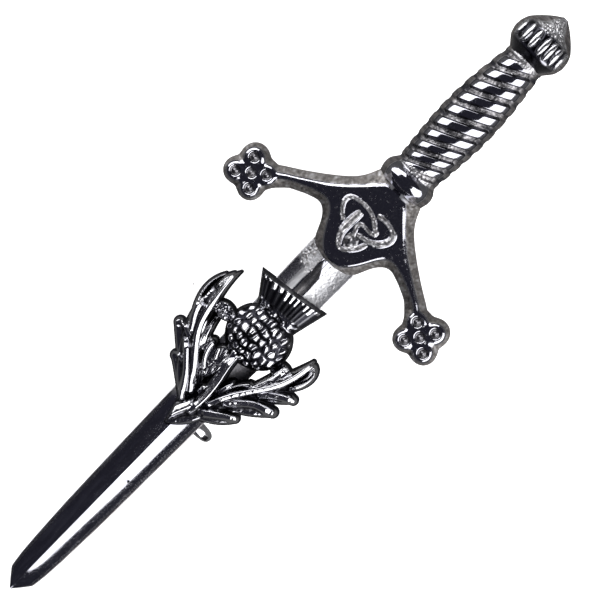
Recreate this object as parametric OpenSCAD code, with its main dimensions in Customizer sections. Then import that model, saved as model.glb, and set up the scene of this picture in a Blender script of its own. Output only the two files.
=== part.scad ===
// Kilt pin in the form of a sword with a thistle laid over its blade.
// The back lies down: X runs across the blade, Y along it to the pommel, Z up out of the face.
// Tables give places along the sword as the distance from the blade's point.

/* [Sword] */
// Length from the blade's point to the top of the pommel
sword_len = 99.1; // [99.0:0.1:99.2]
// Height of the casting's flat back above what the pin lies on
back_z = 7; // [6.9:0.1:7.4]
// Thickness of the blade at its edges
blade_edge_t = 1.0; // [0.7:0.1:1.4]
// How hollow the blade's flanks are ground, 1 being flat
blade_hollow = 1.8; // [1:0.1:2.4]
// Depth of the fuller in the blade below the guard
fuller_depth = 0.4; // [0.1:0.1:0.6]
// Half of the fuller's width
fuller_half_w = 0.75; // [0.5:0.05:1.2]

/* [Guard] */
// Height of the guard's polished face over the back
guard_t = 3.4; // [2.8:0.1:4]
// Height of the upright foot of the guard's cast wall
wall_foot = 0.7; // [0.3:0.1:1]
// How much lower the arms are at their ends than at the shield
arm_drop = 0.4; // [0:0.05:0.6]
// Radius of the four lobes of an arm's end, at the back
lobe_r = 1.65; // [1.5:0.05:1.75]
// Radius of the same lobes at the face
lobe_face_r = 1.2; // [1:0.05:1.3]
// Radius of the round dimple in each lobe
dimple_r = 0.65; // [0.5:0.05:0.8]
// Depth of the dimples
dimple_depth = 0.3; // [0.1:0.05:0.5]
// Half of the knot's width across the guard
knot_half_w = 3.75; // [3:0.05:4]
// Half of the knot's height along the sword
knot_half_h = 3.9; // [3:0.05:4]
// Width of the knot's band
band_w = 0.85; // [0.6:0.05:1]
// Height of the knot's band over the face
band_rise = 0.35; // [0.2:0.05:0.6]

/* [Grip] */
// Distance along the sword from one spiral ridge to the next
ridge_pitch = 2.05; // [1.6:0.05:2.6]
// Slope of the spiral ridges across the grip, in degrees
ridge_slope = 24; // [15:1:35]
// Depth of the grooves between the ridges
ridge_depth = 0.45; // [0.2:0.05:0.6]
// Height of the grip over its half width
grip_rise = 0.75; // [0.4:0.05:1.2]

/* [Pommel] */
// Number of raised petals across the pommel
petals = 7; // [5:1:9]
// How far the petals stand out
petal_rise = 0.4; // [0.1:0.05:0.6]

/* [Thistle] */
// Gap between the thistle's channel and the blade in it
seat_gap = 0.06; // [0.04:0.01:0.15]
// Height of the seed head over the back
head_t = 4.9; // [4.4:0.1:5.6]
// Rows of scales on the seed head
scale_rows = 9; // [6:1:11]
// Height of the scales over the head
scale_rise = 0.42; // [0.2:0.02:0.6]
// Ridges across the flower tuft
tuft_ridges = 12; // [8:1:16]
// Depth of the grooves between the tuft's ridges
tuft_groove = 0.4; // [0.1:0.05:0.6]

/* [Pin and catch] */
// Diameter of the pin's wire
pin_d = 1.3; // [1:0.05:1.4]
// Diameter of the catch's wire
catch_d = 1.45; // [1.2:0.05:1.5]
// Bend radius of the catch, along the middle of its wire
catch_bend_r = 2.2; // [2.1:0.05:2.3]
// Half of the width of the lug that holds the pin
lug_half_w = 3.2; // [2.6:0.1:3.4]
// Length of the lug along the sword
lug_len = 4.4; // [3:0.1:5]

/* [Hidden] */

// Facets of the round forms that are cast, and of the turned ones that fit
$fn = 48;
CAST_FN = 18;
EPS = 0.01;

BLADE_DARK = [0.13, 0.13, 0.16];
THISTLE_DARK = [0.22, 0.22, 0.24];
BRIGHT_STEEL = [0.75, 0.75, 0.77];

// Blade: place along it, half width, height of its ridge over its edges, depth of the fuller
BLADE = [
    [0, 0.12, 0.02, 0],
    [1, 0.98, 0.2, 0],
    [2.1, 1.83, 0.38, 0],
    [4, 2.1, 0.5, 0],
    [7, 2.32, 0.6, 0],
    [13, 2.58, 0.7, 0],
    [20, 2.74, 0.85, 0],
    [28, 2.87, 0.92, 0],
    [36, 2.98, 0.92, 0],
    [44, 3.15, 0.85, 0.5],
    [50, 3.32, 0.85, 1],
    [55.8, 3.43, 0.85, 1],
    [56.9, 3.44, 0.85, 0],
    [66, 3.44, 0.85, 0]
];
// Where across the blade its section has points, as parts of the half width
BLADE_ACROSS = [-1, -0.62, -0.3, -0.15, 0, 0.15, 0.3, 0.62, 1];

// Guard, for one side: place across, then the low and top edge of the back and of the face
GUARD = [
    [0, 56.7, 70.4, 57.3, 69.5],
    [1, 56.8, 70.4, 57.4, 69.4],
    [1.7, 57, 70.4, 57.75, 69.15],
    [2.4, 57.2, 70.4, 58.45, 68.5],
    [3, 57.5, 70.35, 59.25, 67.85],
    [3.5, 58, 69.9, 60.1, 67.3],
    [3.9, 59.1, 68.6, 60.9, 66.9],
    [4.4, 60.2, 67.75, 61.75, 66.4],
    [5, 61, 66.95, 62.35, 65.8],
    [5.7, 61.5, 66.3, 62.6, 65.2],
    [6.5, 61.55, 65.6, 62.55, 64.5],
    [8, 61.05, 64.45, 62.1, 63.5],
    [10, 60.1, 63.05, 61.2, 62.2],
    [11.5, 58.6, 62.1, 60.3, 61.3],
    [12.5, 57.4, 61.5, 59.4, 60.5],
    [13.6, 57.4, 60.6, 58.8, 59.6]
];
ARM_FALL_X = 6.5;
ARM_END_X = 13.6;
// Arm's end, for one side: where the middle and the four lobes lie
LOBES = [[14.65, 58.5], [15.8, 60.1], [13.05, 59.55], [16.35, 57.25], [13.45, 56.85]];

// Collar and grip: place along, half width
GRIP = [
    [69.4, 3.4],
    [70.5, 3.73],
    [71.2, 3.78],
    [71.9, 3.55],
    [72.5, 3],
    [75, 3.28],
    [77.5, 3.5],
    [80, 3.68],
    [83, 3.68],
    [86, 3.5],
    [89, 3.12],
    [92, 2.72],
    [92.8, 2.7]
];
COLLAR_TOP = 72.5;
GRIP_TOP = 92.2;
// Pommel: place along, half width, height over the back, share of the petals' rise
POMMEL = [
    [91.9, 2.7, 3.2, 0],
    [92.5, 3.2, 3.9, 0],
    [93.2, 3.75, 4.7, 0.3],
    [94.3, 4.05, 5.2, 1],
    [95.3, 3.95, 5.1, 1],
    [96.2, 3.6, 4.6, 0.6],
    [96.8, 3.1, 4.1, 0],
    [97.6, 2.3, 3.3, 0],
    [98.4, 1.35, 2.3, 0],
    [99, 0.45, 1.3, 0],
    [sword_len, 0.2, 1, 0]
];

// Thistle's leaves: root, bend and end of each lobe's middle, then the half widths
// at the root, the middle and the end, and the height of its ridge over the back
LEAVES = [
    [-0.8, 32, -9.1, 40.6, -6.9, 48.5, 0.7, 1.6, 0.25, 3.6],
    [-4.8, 37.6, -10.35, 42.8, -8.1, 47, 0.5, 0.55, 0.35, 3.1],
    [-2, 33.6, -5, 37.2, -8, 38.75, 0.8, 1, 0.85, 3.2],
    [-0.9, 31.9, -3.2, 34.9, -5.6, 35.3, 0.6, 0.8, 0.7, 3.1],
    [-0.9, 33.2, -4.75, 38.6, -5.2, 42.8, 0.6, 0.7, 0.55, 3],
    [-0.6, 34.4, -3.8, 38.2, -3.6, 40.5, 0.5, 0.8, 0.5, 3],
    [1.4, 33.2, 6.65, 40.35, 7.65, 46.8, 0.8, 1.3, 0.35, 3.6],
    [5.6, 40.4, 9.7, 44.1, 8.3, 46.3, 0.5, 0.65, 0.4, 3.1],
    [4.2, 38.2, 7.1, 40.7, 9.15, 41.55, 0.8, 0.9, 0.45, 3.2],
    [2.2, 34.8, 5.9, 37.9, 8.2, 38.6, 0.8, 1.05, 0.65, 3.2],
    [1, 31.9, 3.4, 33.3, 5.25, 34.85, 0.8, 0.95, 0.7, 3.1],
    [2.2, 35.6, 4.65, 39.45, 5.3, 43.7, 0.5, 0.55, 0.5, 3],
    [1.5, 34.5, 2.3, 37.2, 3.1, 39.1, 0.5, 0.65, 0.4, 3],
    [0.2, 33.6, 0, 30.65, -0.6, 28.9, 1.5, 1.35, 0.35, 3.3]
];
LEAF_STEPS = 7;
// Share of its height that a lobe falls by to its end
LEAF_FALL = 0.21;
// Where the slope of a leaf or of the stem turns into its ridge, as part of the half width
SHOULDER = 0.7;
// Stem: place across, place along, half width, height over the back
STEM = [
    [-0.2, 40.8, 0.75, 3.9],
    [0, 38.6, 0.8, 3.9],
    [0.5, 36.4, 0.85, 3.8],
    [0.65, 34.2, 0.85, 3.7],
    [0.4, 32.2, 0.75, 3.6],
    [-0.3, 30.6, 0.55, 3.4],
    [-0.6, 29.4, 0.3, 3]
];
// Thin webs between the leaves and the seed head: middle, half length and half width, height
WEBS = [[-5.1, 43.6, 1.5, 1.3, 2.7], [5.8, 43.2, 1.3, 1.25, 2.5]];

// Seed head: middle, half width and half height
HEAD_C = [0.3, 44.2];
HEAD_HALF_W = 4.45;
HEAD_HALF_H = 4.1;
// Flower tuft: its left and right corners at the rim and at the neck
RIM_L = [-5.45, 50.75];
RIM_R = [4.4, 52.15];
NECK_L = [-2.95, 47.3];
NECK_R = [3.25, 47.5];
RIM_T = 4.7;
NECK_T = 3.3;

// Pin and catch: where along the sword the pin starts, tapers and ends, and the catch stands
lug_s = 67.4;
taper_s = 36;
point_s = 27.6;
catch_s = 30.2;
point_r = 0.12;
pin_x = 1.85;
catch_x = 2.03;
post_bend_r = 1;
hook_turn = 235;
catch_r = catch_d / 2;
pin_r = pin_d / 2;
catch_z = catch_r + catch_bend_r;
pin_z = catch_z - 0.8;
fit_gap = 0.04;
post_seat = 0.8;

// Number of the row of table t that starts the stretch that holds s
function row_at(t, s) = max([0, for (i = [0:len(t) - 2]) if (t[i][0] <= s) i]);

// Column c of table t at s, along straight lines between its rows
function at(t, s, c) =
    let (i = row_at(t, s), u = (s - t[i][0]) / (t[i + 1][0] - t[i][0]))
    t[i][c] + min(1, max(0, u)) * (t[i + 1][c] - t[i][c]);

// Closed solid through rings of equally many points. Seen from where the rings go,
// each ring's points turn to the left.
module loft(rings, closed = false) {
    n = len(rings[0]);
    m = len(rings);
    last = closed ? m - 1 : m - 2;
    sides = [
        for (i = [0:last], j = [0:n - 1])
            let (k = (i + 1) % m, l = (j + 1) % n, a = i * n + j, b = i * n + l, c = k * n + l, d = k * n + j)
            each [[a, d, c], [a, c, b]]
    ];
    ends = closed ? [] : [[for (j = [0:n - 1]) j], [for (j = [n - 1:-1:0]) (m - 1) * n + j]];
    polyhedron([for (ring = rings) each ring], concat(sides, ends), convexity = 10);
}

// Height of the blade's face over its back at u parts of the half width
function blade_top(s, u, grow) =
    let (
        w = at(BLADE, s, 1),
        groove = at(BLADE, s, 3) * fuller_depth * max(0, 1 - pow(abs(u) * w / fuller_half_w, 2))
    )
    blade_edge_t + at(BLADE, s, 2) * pow(1 - abs(u), blade_hollow) - groove + grow;

// The blade, or the room that it needs when it is grown by a gap
module blade_form(grow = 0) {
    low = grow > 0 ? -1 : 0;
    loft([
        for (row = BLADE)
            let (s = row[0], w = row[1] + grow)
            concat(
                [for (u = BLADE_ACROSS) [u * w, s, blade_top(s, u, grow)]],
                [[w, s, low], [-w, s, low]]
            )
    ]);
}

// Crowned and walled strip of the guard at one place across it
function guard_ring(x, row) =
    let (
        low = row[1],
        top = row[2],
        face_low = row[3],
        face_top = row[4],
        mid = (face_low + face_top) / 2,
        t = guard_t - arm_drop * max(0, abs(x) - ARM_FALL_X) / (ARM_END_X - ARM_FALL_X)
    )
    [
        [x, top, 0],
        [x, top, wall_foot],
        [x, face_top + 0.12, t - 0.4],
        [x, face_top - 0.12, t - 0.12],
        [x, mid + (face_top - mid) * 0.5, t + 0.08],
        [x, mid, t + 0.12],
        [x, mid + (face_low - mid) * 0.5, t + 0.08],
        [x, face_low + 0.12, t - 0.12],
        [x, face_low - 0.12, t - 0.4],
        [x, low, wall_foot],
        [x, low, 0]
    ];

module guard_body() {
    n = len(GUARD);
    loft([
        for (i = [-(n - 1):n - 1])
            let (row = GUARD[abs(i)])
            guard_ring(sign(i) * row[0], row)
    ]);
}

// One arm's end: five round lobes that run together, each with a dimple and a pip
module arm_end() {
    face_z = guard_t - 0.15;
    difference() {
        for (p = LOBES) translate([p[0], p[1], 0]) {
            cylinder(h = wall_foot, r = lobe_r, $fn = CAST_FN);
            translate([0, 0, wall_foot - EPS])
                cylinder(h = face_z - 0.25 - wall_foot + EPS, r1 = lobe_r, r2 = lobe_face_r + 0.05, $fn = CAST_FN);
            translate([0, 0, face_z - 0.25 - EPS])
                cylinder(h = 0.25 + EPS, r1 = lobe_face_r + 0.05, r2 = lobe_face_r - 0.15, $fn = CAST_FN);
        }
        for (p = LOBES) translate([p[0], p[1], face_z - dimple_depth])
            cylinder(h = 1, r = dimple_r, $fn = 14);
    }
    for (p = LOBES) translate([p[0], p[1], face_z - dimple_depth - EPS])
        cylinder(h = dimple_depth * 0.7, r1 = dimple_r * 0.45, r2 = dimple_r * 0.3, $fn = 8);
}

// The knot's band follows a trefoil: three outer loops that pass over and under each other
KNOT_C = [-0.1, 63.45];
KNOT_STEPS = 72;
function knot_at(t) = [
    KNOT_C[0] + knot_half_w * (sin(t) + 2 * sin(2 * t)) / 2.62,
    KNOT_C[1] + knot_half_h * (cos(t) - 2 * cos(2 * t)) / 3,
    -0.14 * sin(3 * t)
];
module knot() {
    loft([
        for (i = [0:KNOT_STEPS - 1])
            let (
                t = 360 * i / KNOT_STEPS,
                p = knot_at(t),
                d = knot_at(t + 0.5) - knot_at(t - 0.5),
                q = [-d[1], d[0]] / norm([d[0], d[1]]) * band_w / 2,
                z = guard_t + 0.12 + band_rise + p[2]
            )
            [
                [p[0] + q[0], p[1] + q[1], guard_t - 0.5],
                [p[0] + q[0], p[1] + q[1], z - 0.15],
                [p[0] + q[0] * 0.55, p[1] + q[1] * 0.55, z],
                [p[0], p[1], z - 0.14],
                [p[0] - q[0] * 0.55, p[1] - q[1] * 0.55, z],
                [p[0] - q[0], p[1] - q[1], z - 0.15],
                [p[0] - q[0], p[1] - q[1], guard_t - 0.5]
            ]
    ], closed = true);
}

// Half-round section with a short upright foot: half width w, height h
function half_round(s, w, h, steps, swell) = concat(
    [for (k = [0:steps])
        let (a = 180 - 180 * k / steps, r = swell(a))
        [cos(a) * (w + r * abs(cos(a))), s, wall_foot + (h - wall_foot) * pow(sin(a), 0.85) + r * sin(a)]],
    [[w, s, 0], [-w, s, 0]]
);

// The ridges of the grip, from -1 in a groove to 0 on a ridge, over the place across and along
function ridge(x, s) =
    let (turn = (s - x * tan(ridge_slope)) / ridge_pitch)
    -pow(abs(sin(180 * turn)), 3);

GRIP_ROWS = 64;
module collar_and_grip() {
    start = GRIP[0][0];
    end = GRIP[len(GRIP) - 1][0];
    loft([
        for (i = [0:GRIP_ROWS])
            let (
                s = start + (end - start) * i / GRIP_ROWS,
                w = at(GRIP, s, 1),
                depth = s > COLLAR_TOP && s < GRIP_TOP ? ridge_depth : 0
            )
            half_round(s, w, w + grip_rise, 12, function(a) depth * ridge(cos(a) * w, s))
    ]);
}

module pommel() {
    steps = petals * 4;
    loft([
        for (row = POMMEL)
            half_round(row[0], row[1], row[2], steps,
                function(a) row[3] * petal_rise * (abs(sin(a * petals)) - 0.7))
    ]);
}

// Lug on the back of the guard that holds the pin's root
module lug() {
    translate([-lug_half_w, lug_s - lug_len / 2, -back_z])
        cube([2 * lug_half_w, lug_len, back_z + 1]);
}

// The casting's forms run into each other as one surface
module sword_casting() {
    resize([0, sword_len, 0]) {
        blade_form();
        guard_body();
        arm_end();
        mirror([1, 0, 0]) arm_end();
        knot();
        collar_and_grip();
        pommel();
        lug();
    }
}

module sword() {
    color(BLADE_DARK) on_back() difference() {
        sword_casting();
        translate([pin_x, lug_s - lug_len / 2 - 1, pin_z - back_z]) rotate([-90, 0, 0])
            cylinder(h = lug_len + 0.2, r = pin_r + fit_gap);
        translate([catch_x - post_bend_r, catch_s, -1])
            cylinder(h = 1 + post_seat + fit_gap, r = catch_r + fit_gap);
    }
}

// Section of a leaf's lobe: an upright wall, a slope and a soft ridge
function lobe_ring(p, q, w, h) = [
    [p[0] + q[0] * w, p[1] + q[1] * w, 0],
    [p[0] + q[0] * w, p[1] + q[1] * w, h * 0.5],
    [p[0] + q[0] * w * SHOULDER, p[1] + q[1] * w * SHOULDER, h * 0.85],
    [p[0], p[1], h],
    [p[0] - q[0] * w * SHOULDER, p[1] - q[1] * w * SHOULDER, h * 0.85],
    [p[0] - q[0] * w, p[1] - q[1] * w, h * 0.5],
    [p[0] - q[0] * w, p[1] - q[1] * w, 0]
];

// Point on the bend from a by b to c, and the way it goes there
function bend(a, b, c, u) = a * (1 - u) * (1 - u) + b * 2 * u * (1 - u) + c * u * u;
function heading(a, b, c, u) = (b - a) * (1 - u) + (c - b) * u;

module leaf(row) {
    a = [row[0], row[1]];
    b = [row[2], row[3]];
    c = [row[4], row[5]];
    wide = 2 * row[7] - (row[6] + row[8]) / 2;
    out = (c - b) / norm(c - b);
    loft([
        for (i = [0:LEAF_STEPS])
            let (
                u = i / LEAF_STEPS,
                d = heading(a, b, c, u),
                h = row[9] * (1 - LEAF_FALL * pow(u, 4))
            )
            lobe_ring(bend(a, b, c, u), [-d[1], d[0]] / norm(d), bend(row[6], wide, row[8], u), h),
        lobe_ring(c + out * row[8] * 0.5, [-out[1], out[0]], row[8] * 0.55, row[9] * 0.65)
    ]);
}

module stem() {
    n = len(STEM);
    loft([
        for (i = [0:n - 1])
            let (
                row = STEM[i],
                before = STEM[max(0, i - 1)],
                after = STEM[min(n - 1, i + 1)],
                d = [after[0] - before[0], after[1] - before[1]],
                q = [-d[1], d[0]] / norm(d)
            )
            lobe_ring([row[0], row[1]], q, row[2], row[3])
    ]);
}

module webs() {
    for (web = WEBS) translate([web[0], web[1], 0]) scale([web[2], web[3], 1])
        cylinder(h = web[4], r1 = 1, r2 = 0.9, $fn = CAST_FN);
}

// Seed head: a dome on an upright foot, with rows of raised scales that are staggered.
// Each row starts in a groove, and its scales rise towards the tuft.
HEAD_FOOT = 1.6;
SCALES_ACROSS = 9;
SCALE_SHIFT = 0.22;
HEAD_ENDS = 0.985;
// Rings of a row: place along it, and share of the scales' rise
SCALE_RINGS = [[0, 0], [0.2, 0.45], [0.78, 1]];
// Points of a scale: place across it, and whether it is raised
SCALE_POINTS = [[0, 0], [0.2, 1], [0.8, 1]];

// Point of the head at v of its half length and u of the width there, raised by a scale
function head_point(u, v, rise) =
    let (
        reach = sqrt(1 - v * v),
        top = reach * sqrt(max(0, 1 - u * u))
    )
    [
        HEAD_C[0] + (HEAD_HALF_W + 0.3 * rise) * reach * u,
        HEAD_C[1] + (HEAD_HALF_H + 0.3 * rise) * v,
        HEAD_FOOT + (head_t - HEAD_FOOT) * top + rise
    ];

// Where a point across the head lies once its row is shifted, which leaves both ends in place
function shifted(u, shift) = u + shift * (1 - u * u);

function head_ring(v, share, shift) =
    let (last = head_point(1, v, 0), first = head_point(-1, v, 0))
    concat(
        [for (j = [0:SCALES_ACROSS - 1], q = SCALE_POINTS)
            let (u = shifted(2 * (j + q[0]) / SCALES_ACROSS - 1, shift * 2 / SCALES_ACROSS))
            head_point(u, v, share * q[1] * scale_rise)],
        [last, [last[0], last[1], 0], [first[0], first[1], 0]]
    );

module seed_head() {
    step = 2 * HEAD_ENDS / scale_rows;
    loft([
        for (i = [0:scale_rows - 1], r = SCALE_RINGS)
            head_ring(
                (i + r[0]) * step - HEAD_ENDS,
                r[1],
                r[1] == 0 ? 0 : (i % 2 == 0 ? SCALE_SHIFT : -SCALE_SHIFT)
            ),
        head_ring(HEAD_ENDS, 0, 0)
    ]);
}

// Flower tuft: a fan of ridges from the neck to its rim, which leans to one side
TUFT_ROWS = 3;
module tuft() {
    across = 2 * tuft_ridges;
    loft([
        for (i = [0:TUFT_ROWS])
            let (v = i / TUFT_ROWS, l = NECK_L + (RIM_L - NECK_L) * v, r = NECK_R + (RIM_R - NECK_R) * v)
            concat(
                [for (k = [0:across])
                    let (
                        u = k / across,
                        p = l + (r - l) * u,
                        arch = sqrt(max(0, 1 - pow(2 * u - 1, 2) * 0.9)),
                        top = 1.2 + (NECK_T + (RIM_T - NECK_T) * v - 1.2) * arch
                    )
                    [p[0], p[1] - 0.5 * v * pow(2 * u - 1, 2) * 0.5, top - (k % 2 == 0 ? tuft_groove : 0)]],
                [[r[0], r[1] - 0.25 * v, 0], [l[0], l[1] - 0.25 * v, 0]]
            )
    ]);
}

module thistle() {
    color(THISTLE_DARK) on_back() resize([0, 0, 0]) difference() {
        union() {
            for (row = LEAVES) leaf(row);
            stem();
            webs();
            seed_head();
            tuft();
        }
        blade_form(grow = seat_gap);
    }
}

// Catch: a post out of the blade's back that bends round into a hook, open to one side
module catch() {
    arc_z = catch_bend_r + post_bend_r;
    color(BRIGHT_STEEL) on_floor(catch_s) translate([catch_x, 0, catch_z]) rotate([90, 0, 0]) {
        rotate([0, 0, 90]) mirror([0, 1, 0])
            rotate_extrude(angle = hook_turn) translate([catch_bend_r, 0]) circle(catch_r);
        translate([0, arc_z, 0]) rotate([0, 0, 180])
            rotate_extrude(angle = 90) translate([post_bend_r, 0]) circle(catch_r);
        translate([-post_bend_r, arc_z, 0]) rotate([-90, 0, 0])
            cylinder(h = back_z + post_seat - catch_z - arc_z, r = catch_r);
    }
}

// Pin: a plain wire from its root in the lug to its point in the catch
module pin_stem() {
    root_s = lug_s + lug_len / 2 - 1;
    tip_len = taper_s - point_s;
    color(BRIGHT_STEEL) on_floor(point_s) translate([pin_x, 0, pin_z]) rotate([-90, 0, 0]) {
        sphere(point_r);
        cylinder(h = tip_len, r1 = point_r, r2 = pin_r);
        translate([0, 0, tip_len]) cylinder(h = root_s - taper_s, r = pin_r);
    }
}

// Puts a form that is drawn from its flat back up, along the sword's own scale, into place
module on_back() {
    translate([0, -sword_len / 2, back_z]) children();
}

// Puts a form that stands at s along the sword into place
module on_floor(s) {
    translate([0, s - sword_len / 2, 0]) children();
}

sword();
thistle();
catch();
pin_stem();
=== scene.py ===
"""Looks of a sword-shaped kilt pin of dark plated cast metal, laid face up on a pale light table.

Lengths in the classes are in millimetres and places along the sword are the distance s from the
blade's point, as on the maker's drawing. Heights h are measured up from the casting's flat back.
"""
import logging
import math
from dataclasses import dataclass, field
from enum import Enum

import bpy
import numpy as np
from mathutils import Matrix, Vector


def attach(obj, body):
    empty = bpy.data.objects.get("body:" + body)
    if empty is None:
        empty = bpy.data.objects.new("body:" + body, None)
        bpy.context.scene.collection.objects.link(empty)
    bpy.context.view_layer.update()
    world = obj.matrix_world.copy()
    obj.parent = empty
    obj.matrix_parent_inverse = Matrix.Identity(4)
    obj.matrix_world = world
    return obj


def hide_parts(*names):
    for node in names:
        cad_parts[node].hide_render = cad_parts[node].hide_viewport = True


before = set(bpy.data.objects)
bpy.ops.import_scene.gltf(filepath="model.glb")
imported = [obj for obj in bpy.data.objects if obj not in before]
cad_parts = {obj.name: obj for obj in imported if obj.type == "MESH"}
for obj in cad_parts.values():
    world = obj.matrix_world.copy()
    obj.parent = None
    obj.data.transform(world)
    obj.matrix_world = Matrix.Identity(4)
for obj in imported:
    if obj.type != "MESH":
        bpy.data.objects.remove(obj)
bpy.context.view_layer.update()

LOG = logging.getLogger("kilt_pin")
MM = 0.001
SWORD_LEN = 99.1
BACK_Z = 7.0
FAR = -9.0
FLOAT, COLOUR, VECTOR = "NodeSocketFloat", "NodeSocketColor", "NodeSocketVector"
Array = np.ndarray
Socket = bpy.types.NodeSocket


class Finish(Enum):
    """The record's material slots, by what they stand for here."""

    SWORD = "dark_casting"
    THISTLE = "antiqued_casting"
    CATCH = "bright_wire"
    PIN = "pin_wire"


# Blade: s, half width, height of its ridge over its edges
BLADE = np.array([
    [0, 0.12, 0.02], [1, 0.98, 0.1], [2.1, 1.83, 0.24], [3.2, 2.0, 0.42], [4.4, 2.14, 0.52], [7, 2.32, 0.6],
    [13, 2.58, 0.7], [20, 2.74, 0.85], [28, 2.87, 0.92], [36, 2.98, 0.92], [44, 3.15, 0.85],
    [50, 3.32, 0.85], [55.8, 3.43, 0.85], [66, 3.44, 0.85],
])
BLADE_EDGE_T = 1.0
BLADE_HOLLOW = 1.8


def ramp(low: float, high: float, x: Array) -> Array:
    """Share from 0 at low to 1 at high, with soft ends: t squared times (3 - 2t)."""
    t = np.clip((x - low) / (high - low), 0, 1)
    return t * t * (3 - 2 * t)


def bell(gap: Array, width: float) -> Array:
    """Bell-shaped share: e to the power of minus (gap / width) squared."""
    return np.exp(-(gap / width) ** 2)


def soften(values: Array, sigma: float, axes: tuple[int, ...] = (0, 1)) -> Array:
    """Weighs each sample with its neighbours by a Gaussian bell.

    Args:
        values: samples on a regular grid.
        sigma: width of the bell in samples.
        axes: axes of the array along which it acts.

    Returns:
        The smoothed samples, with the edges repeated outwards.
    """
    reach = max(1, int(math.ceil(3 * sigma)))
    taps = np.exp(-0.5 * (np.arange(-reach, reach + 1) / sigma) ** 2)
    taps /= taps.sum()
    for axis in axes:
        pad = [(0, 0)] * values.ndim
        pad[axis] = (reach, reach)
        wide = np.pad(values, pad, mode="edge")
        size = values.shape[axis]
        values = sum(tap * np.take(wide, np.arange(k, k + size), axis=axis) for k, tap in enumerate(taps))
    return values


def lumps(source: np.random.Generator, shape: tuple[int, ...], *sigma: float) -> Array:
    """Random lumps over a grid, with a spread of 1.

    Args:
        source: where the random numbers come from.
        shape: the grid's shape.
        *sigma: the lumps' size along each axis, in samples.

    Returns:
        The values.
    """
    raw = source.normal(size=shape)
    for axis, width in enumerate(sigma):
        raw = soften(raw, width, (axis,))
    return raw / raw.std()


def skin_marks(polish: Array, tone: Array) -> dict[str, Array]:
    """The two attributes that CastSkin reads: polish from 0 to 1 and tone from -1 to 1."""
    return {"polish": np.clip(polish, 0, 1), "tone": np.clip(tone, -1, 1)}


def column(table: Array, at: Array, col: int, sigma: float = 0.0) -> Array:
    """Reads a table at many places, along straight lines between its rows, softened by sigma in mm.

    Args:
        table: rows that start with the place.
        at: places to read.
        col: column to read.
        sigma: width of the softening bell in mm, or 0 for none.

    Returns:
        The column's values at those places.
    """
    if sigma <= 0:
        return np.interp(at, table[:, 0], table[:, col])
    step = 0.02
    fine = np.arange(table[0, 0], table[-1, 0] + step, step)
    return np.interp(at, fine, soften(np.interp(fine, table[:, 0], table[:, col]), sigma / step, (0,)))


def blade_half_width(s: Array) -> Array:
    """Half of the blade's width at s."""
    return column(BLADE, s, 1, 0.12)


def blade_top(x: Array, s: Array) -> Array:
    """Height of the blade: its edge plus the ridge times (1 - |x| / half width) to a power."""
    part = np.clip(np.abs(x) / blade_half_width(s), 0, 1)
    return BLADE_EDGE_T + column(BLADE, s, 2, 1.2) * (1 - part) ** BLADE_HOLLOW


def to_row(x: Array, s: Array, h: Array) -> Array:
    """Stacks drawing places into points of the model's frame, in metres."""
    return np.stack(np.broadcast_arrays(x, s - SWORD_LEN / 2, h + BACK_Z), axis=-1) * MM


def mesh_object(name: str, points: Array, faces: Array, marks: dict[str, Array]) -> bpy.types.Object:
    """Makes a smooth-shaded mesh object out of arrays, turned so that its faces point outwards.

    Args:
        name: the piece's name.
        points: corners, one row each, in metres.
        faces: corner numbers, four a row, or three a row where the last two are the same.
        marks: a value for each corner, by the attribute's name.

    Returns:
        The object, in the scene.
    """
    mesh = bpy.data.meshes.new(name)
    a, b, c, d = (points[faces[:, k]] - points[0] for k in range(4))
    if (np.cross(a, b) * c + np.cross(a, c) * d).sum() < 0:
        faces = np.where((faces[:, 2] == faces[:, 3])[:, None], faces[:, [1, 0, 2, 2]], faces[:, ::-1])
    quads = faces[faces[:, 2] != faces[:, 3]]
    tris = faces[faces[:, 2] == faces[:, 3]][:, :3]
    loops = np.concatenate([quads.ravel(), tris.ravel()]).astype(np.int32)
    starts = np.concatenate([np.arange(len(quads)) * 4, len(quads) * 4 + np.arange(len(tris)) * 3])
    mesh.vertices.add(len(points))
    mesh.vertices.foreach_set("co", points.astype(np.float32).ravel())
    mesh.loops.add(len(loops))
    mesh.loops.foreach_set("vertex_index", loops)
    mesh.polygons.add(len(starts))
    mesh.polygons.foreach_set("loop_start", starts.astype(np.int32))
    mesh.update(calc_edges=True)
    mesh.validate()
    for key, values in marks.items():
        layer = mesh.attributes.new(key, "FLOAT", "POINT")
        layer.data.foreach_set("value", values.astype(np.float32).ravel())
    mesh.polygons.foreach_set("use_smooth", np.ones(len(mesh.polygons), dtype=bool))
    piece = bpy.data.objects.new(name, mesh)
    bpy.context.scene.collection.objects.link(piece)
    LOG.info("%s: %d points, %d triangles", name, len(points), 2 * len(quads) + len(tris))
    return piece


def loft_object(name: str, rings: Array, marks: dict[str, Array]) -> bpy.types.Object:
    """Closed solid through rings of points, each end closed by a fan round its middle.

    Args:
        name: the piece's name.
        rings: points in metres, ring by ring.
        marks: a value for each point of each ring, by the attribute's name.

    Returns:
        The object.
    """
    m, n = rings.shape[:2]
    grid = np.arange(m * n).reshape(m, n)
    right = np.roll(grid, -1, axis=1)
    sides = np.stack([grid[:-1], grid[1:], right[1:], right[:-1]], axis=-1).reshape(-1, 4)
    first, last = m * n, m * n + 1
    start = np.stack([np.full(n, first), grid[0], right[0], right[0]], axis=-1)
    end = np.stack([np.full(n, last), right[-1], grid[-1], grid[-1]], axis=-1)
    points = np.concatenate([rings.reshape(-1, 3), [rings[0].mean(axis=0), rings[-1].mean(axis=0)]])
    ends = {key: np.concatenate([v.ravel(), [v[0].mean(), v[-1].mean()]]) for key, v in marks.items()}
    return mesh_object(name, points, np.concatenate([sides, start, end]), ends)


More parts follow.
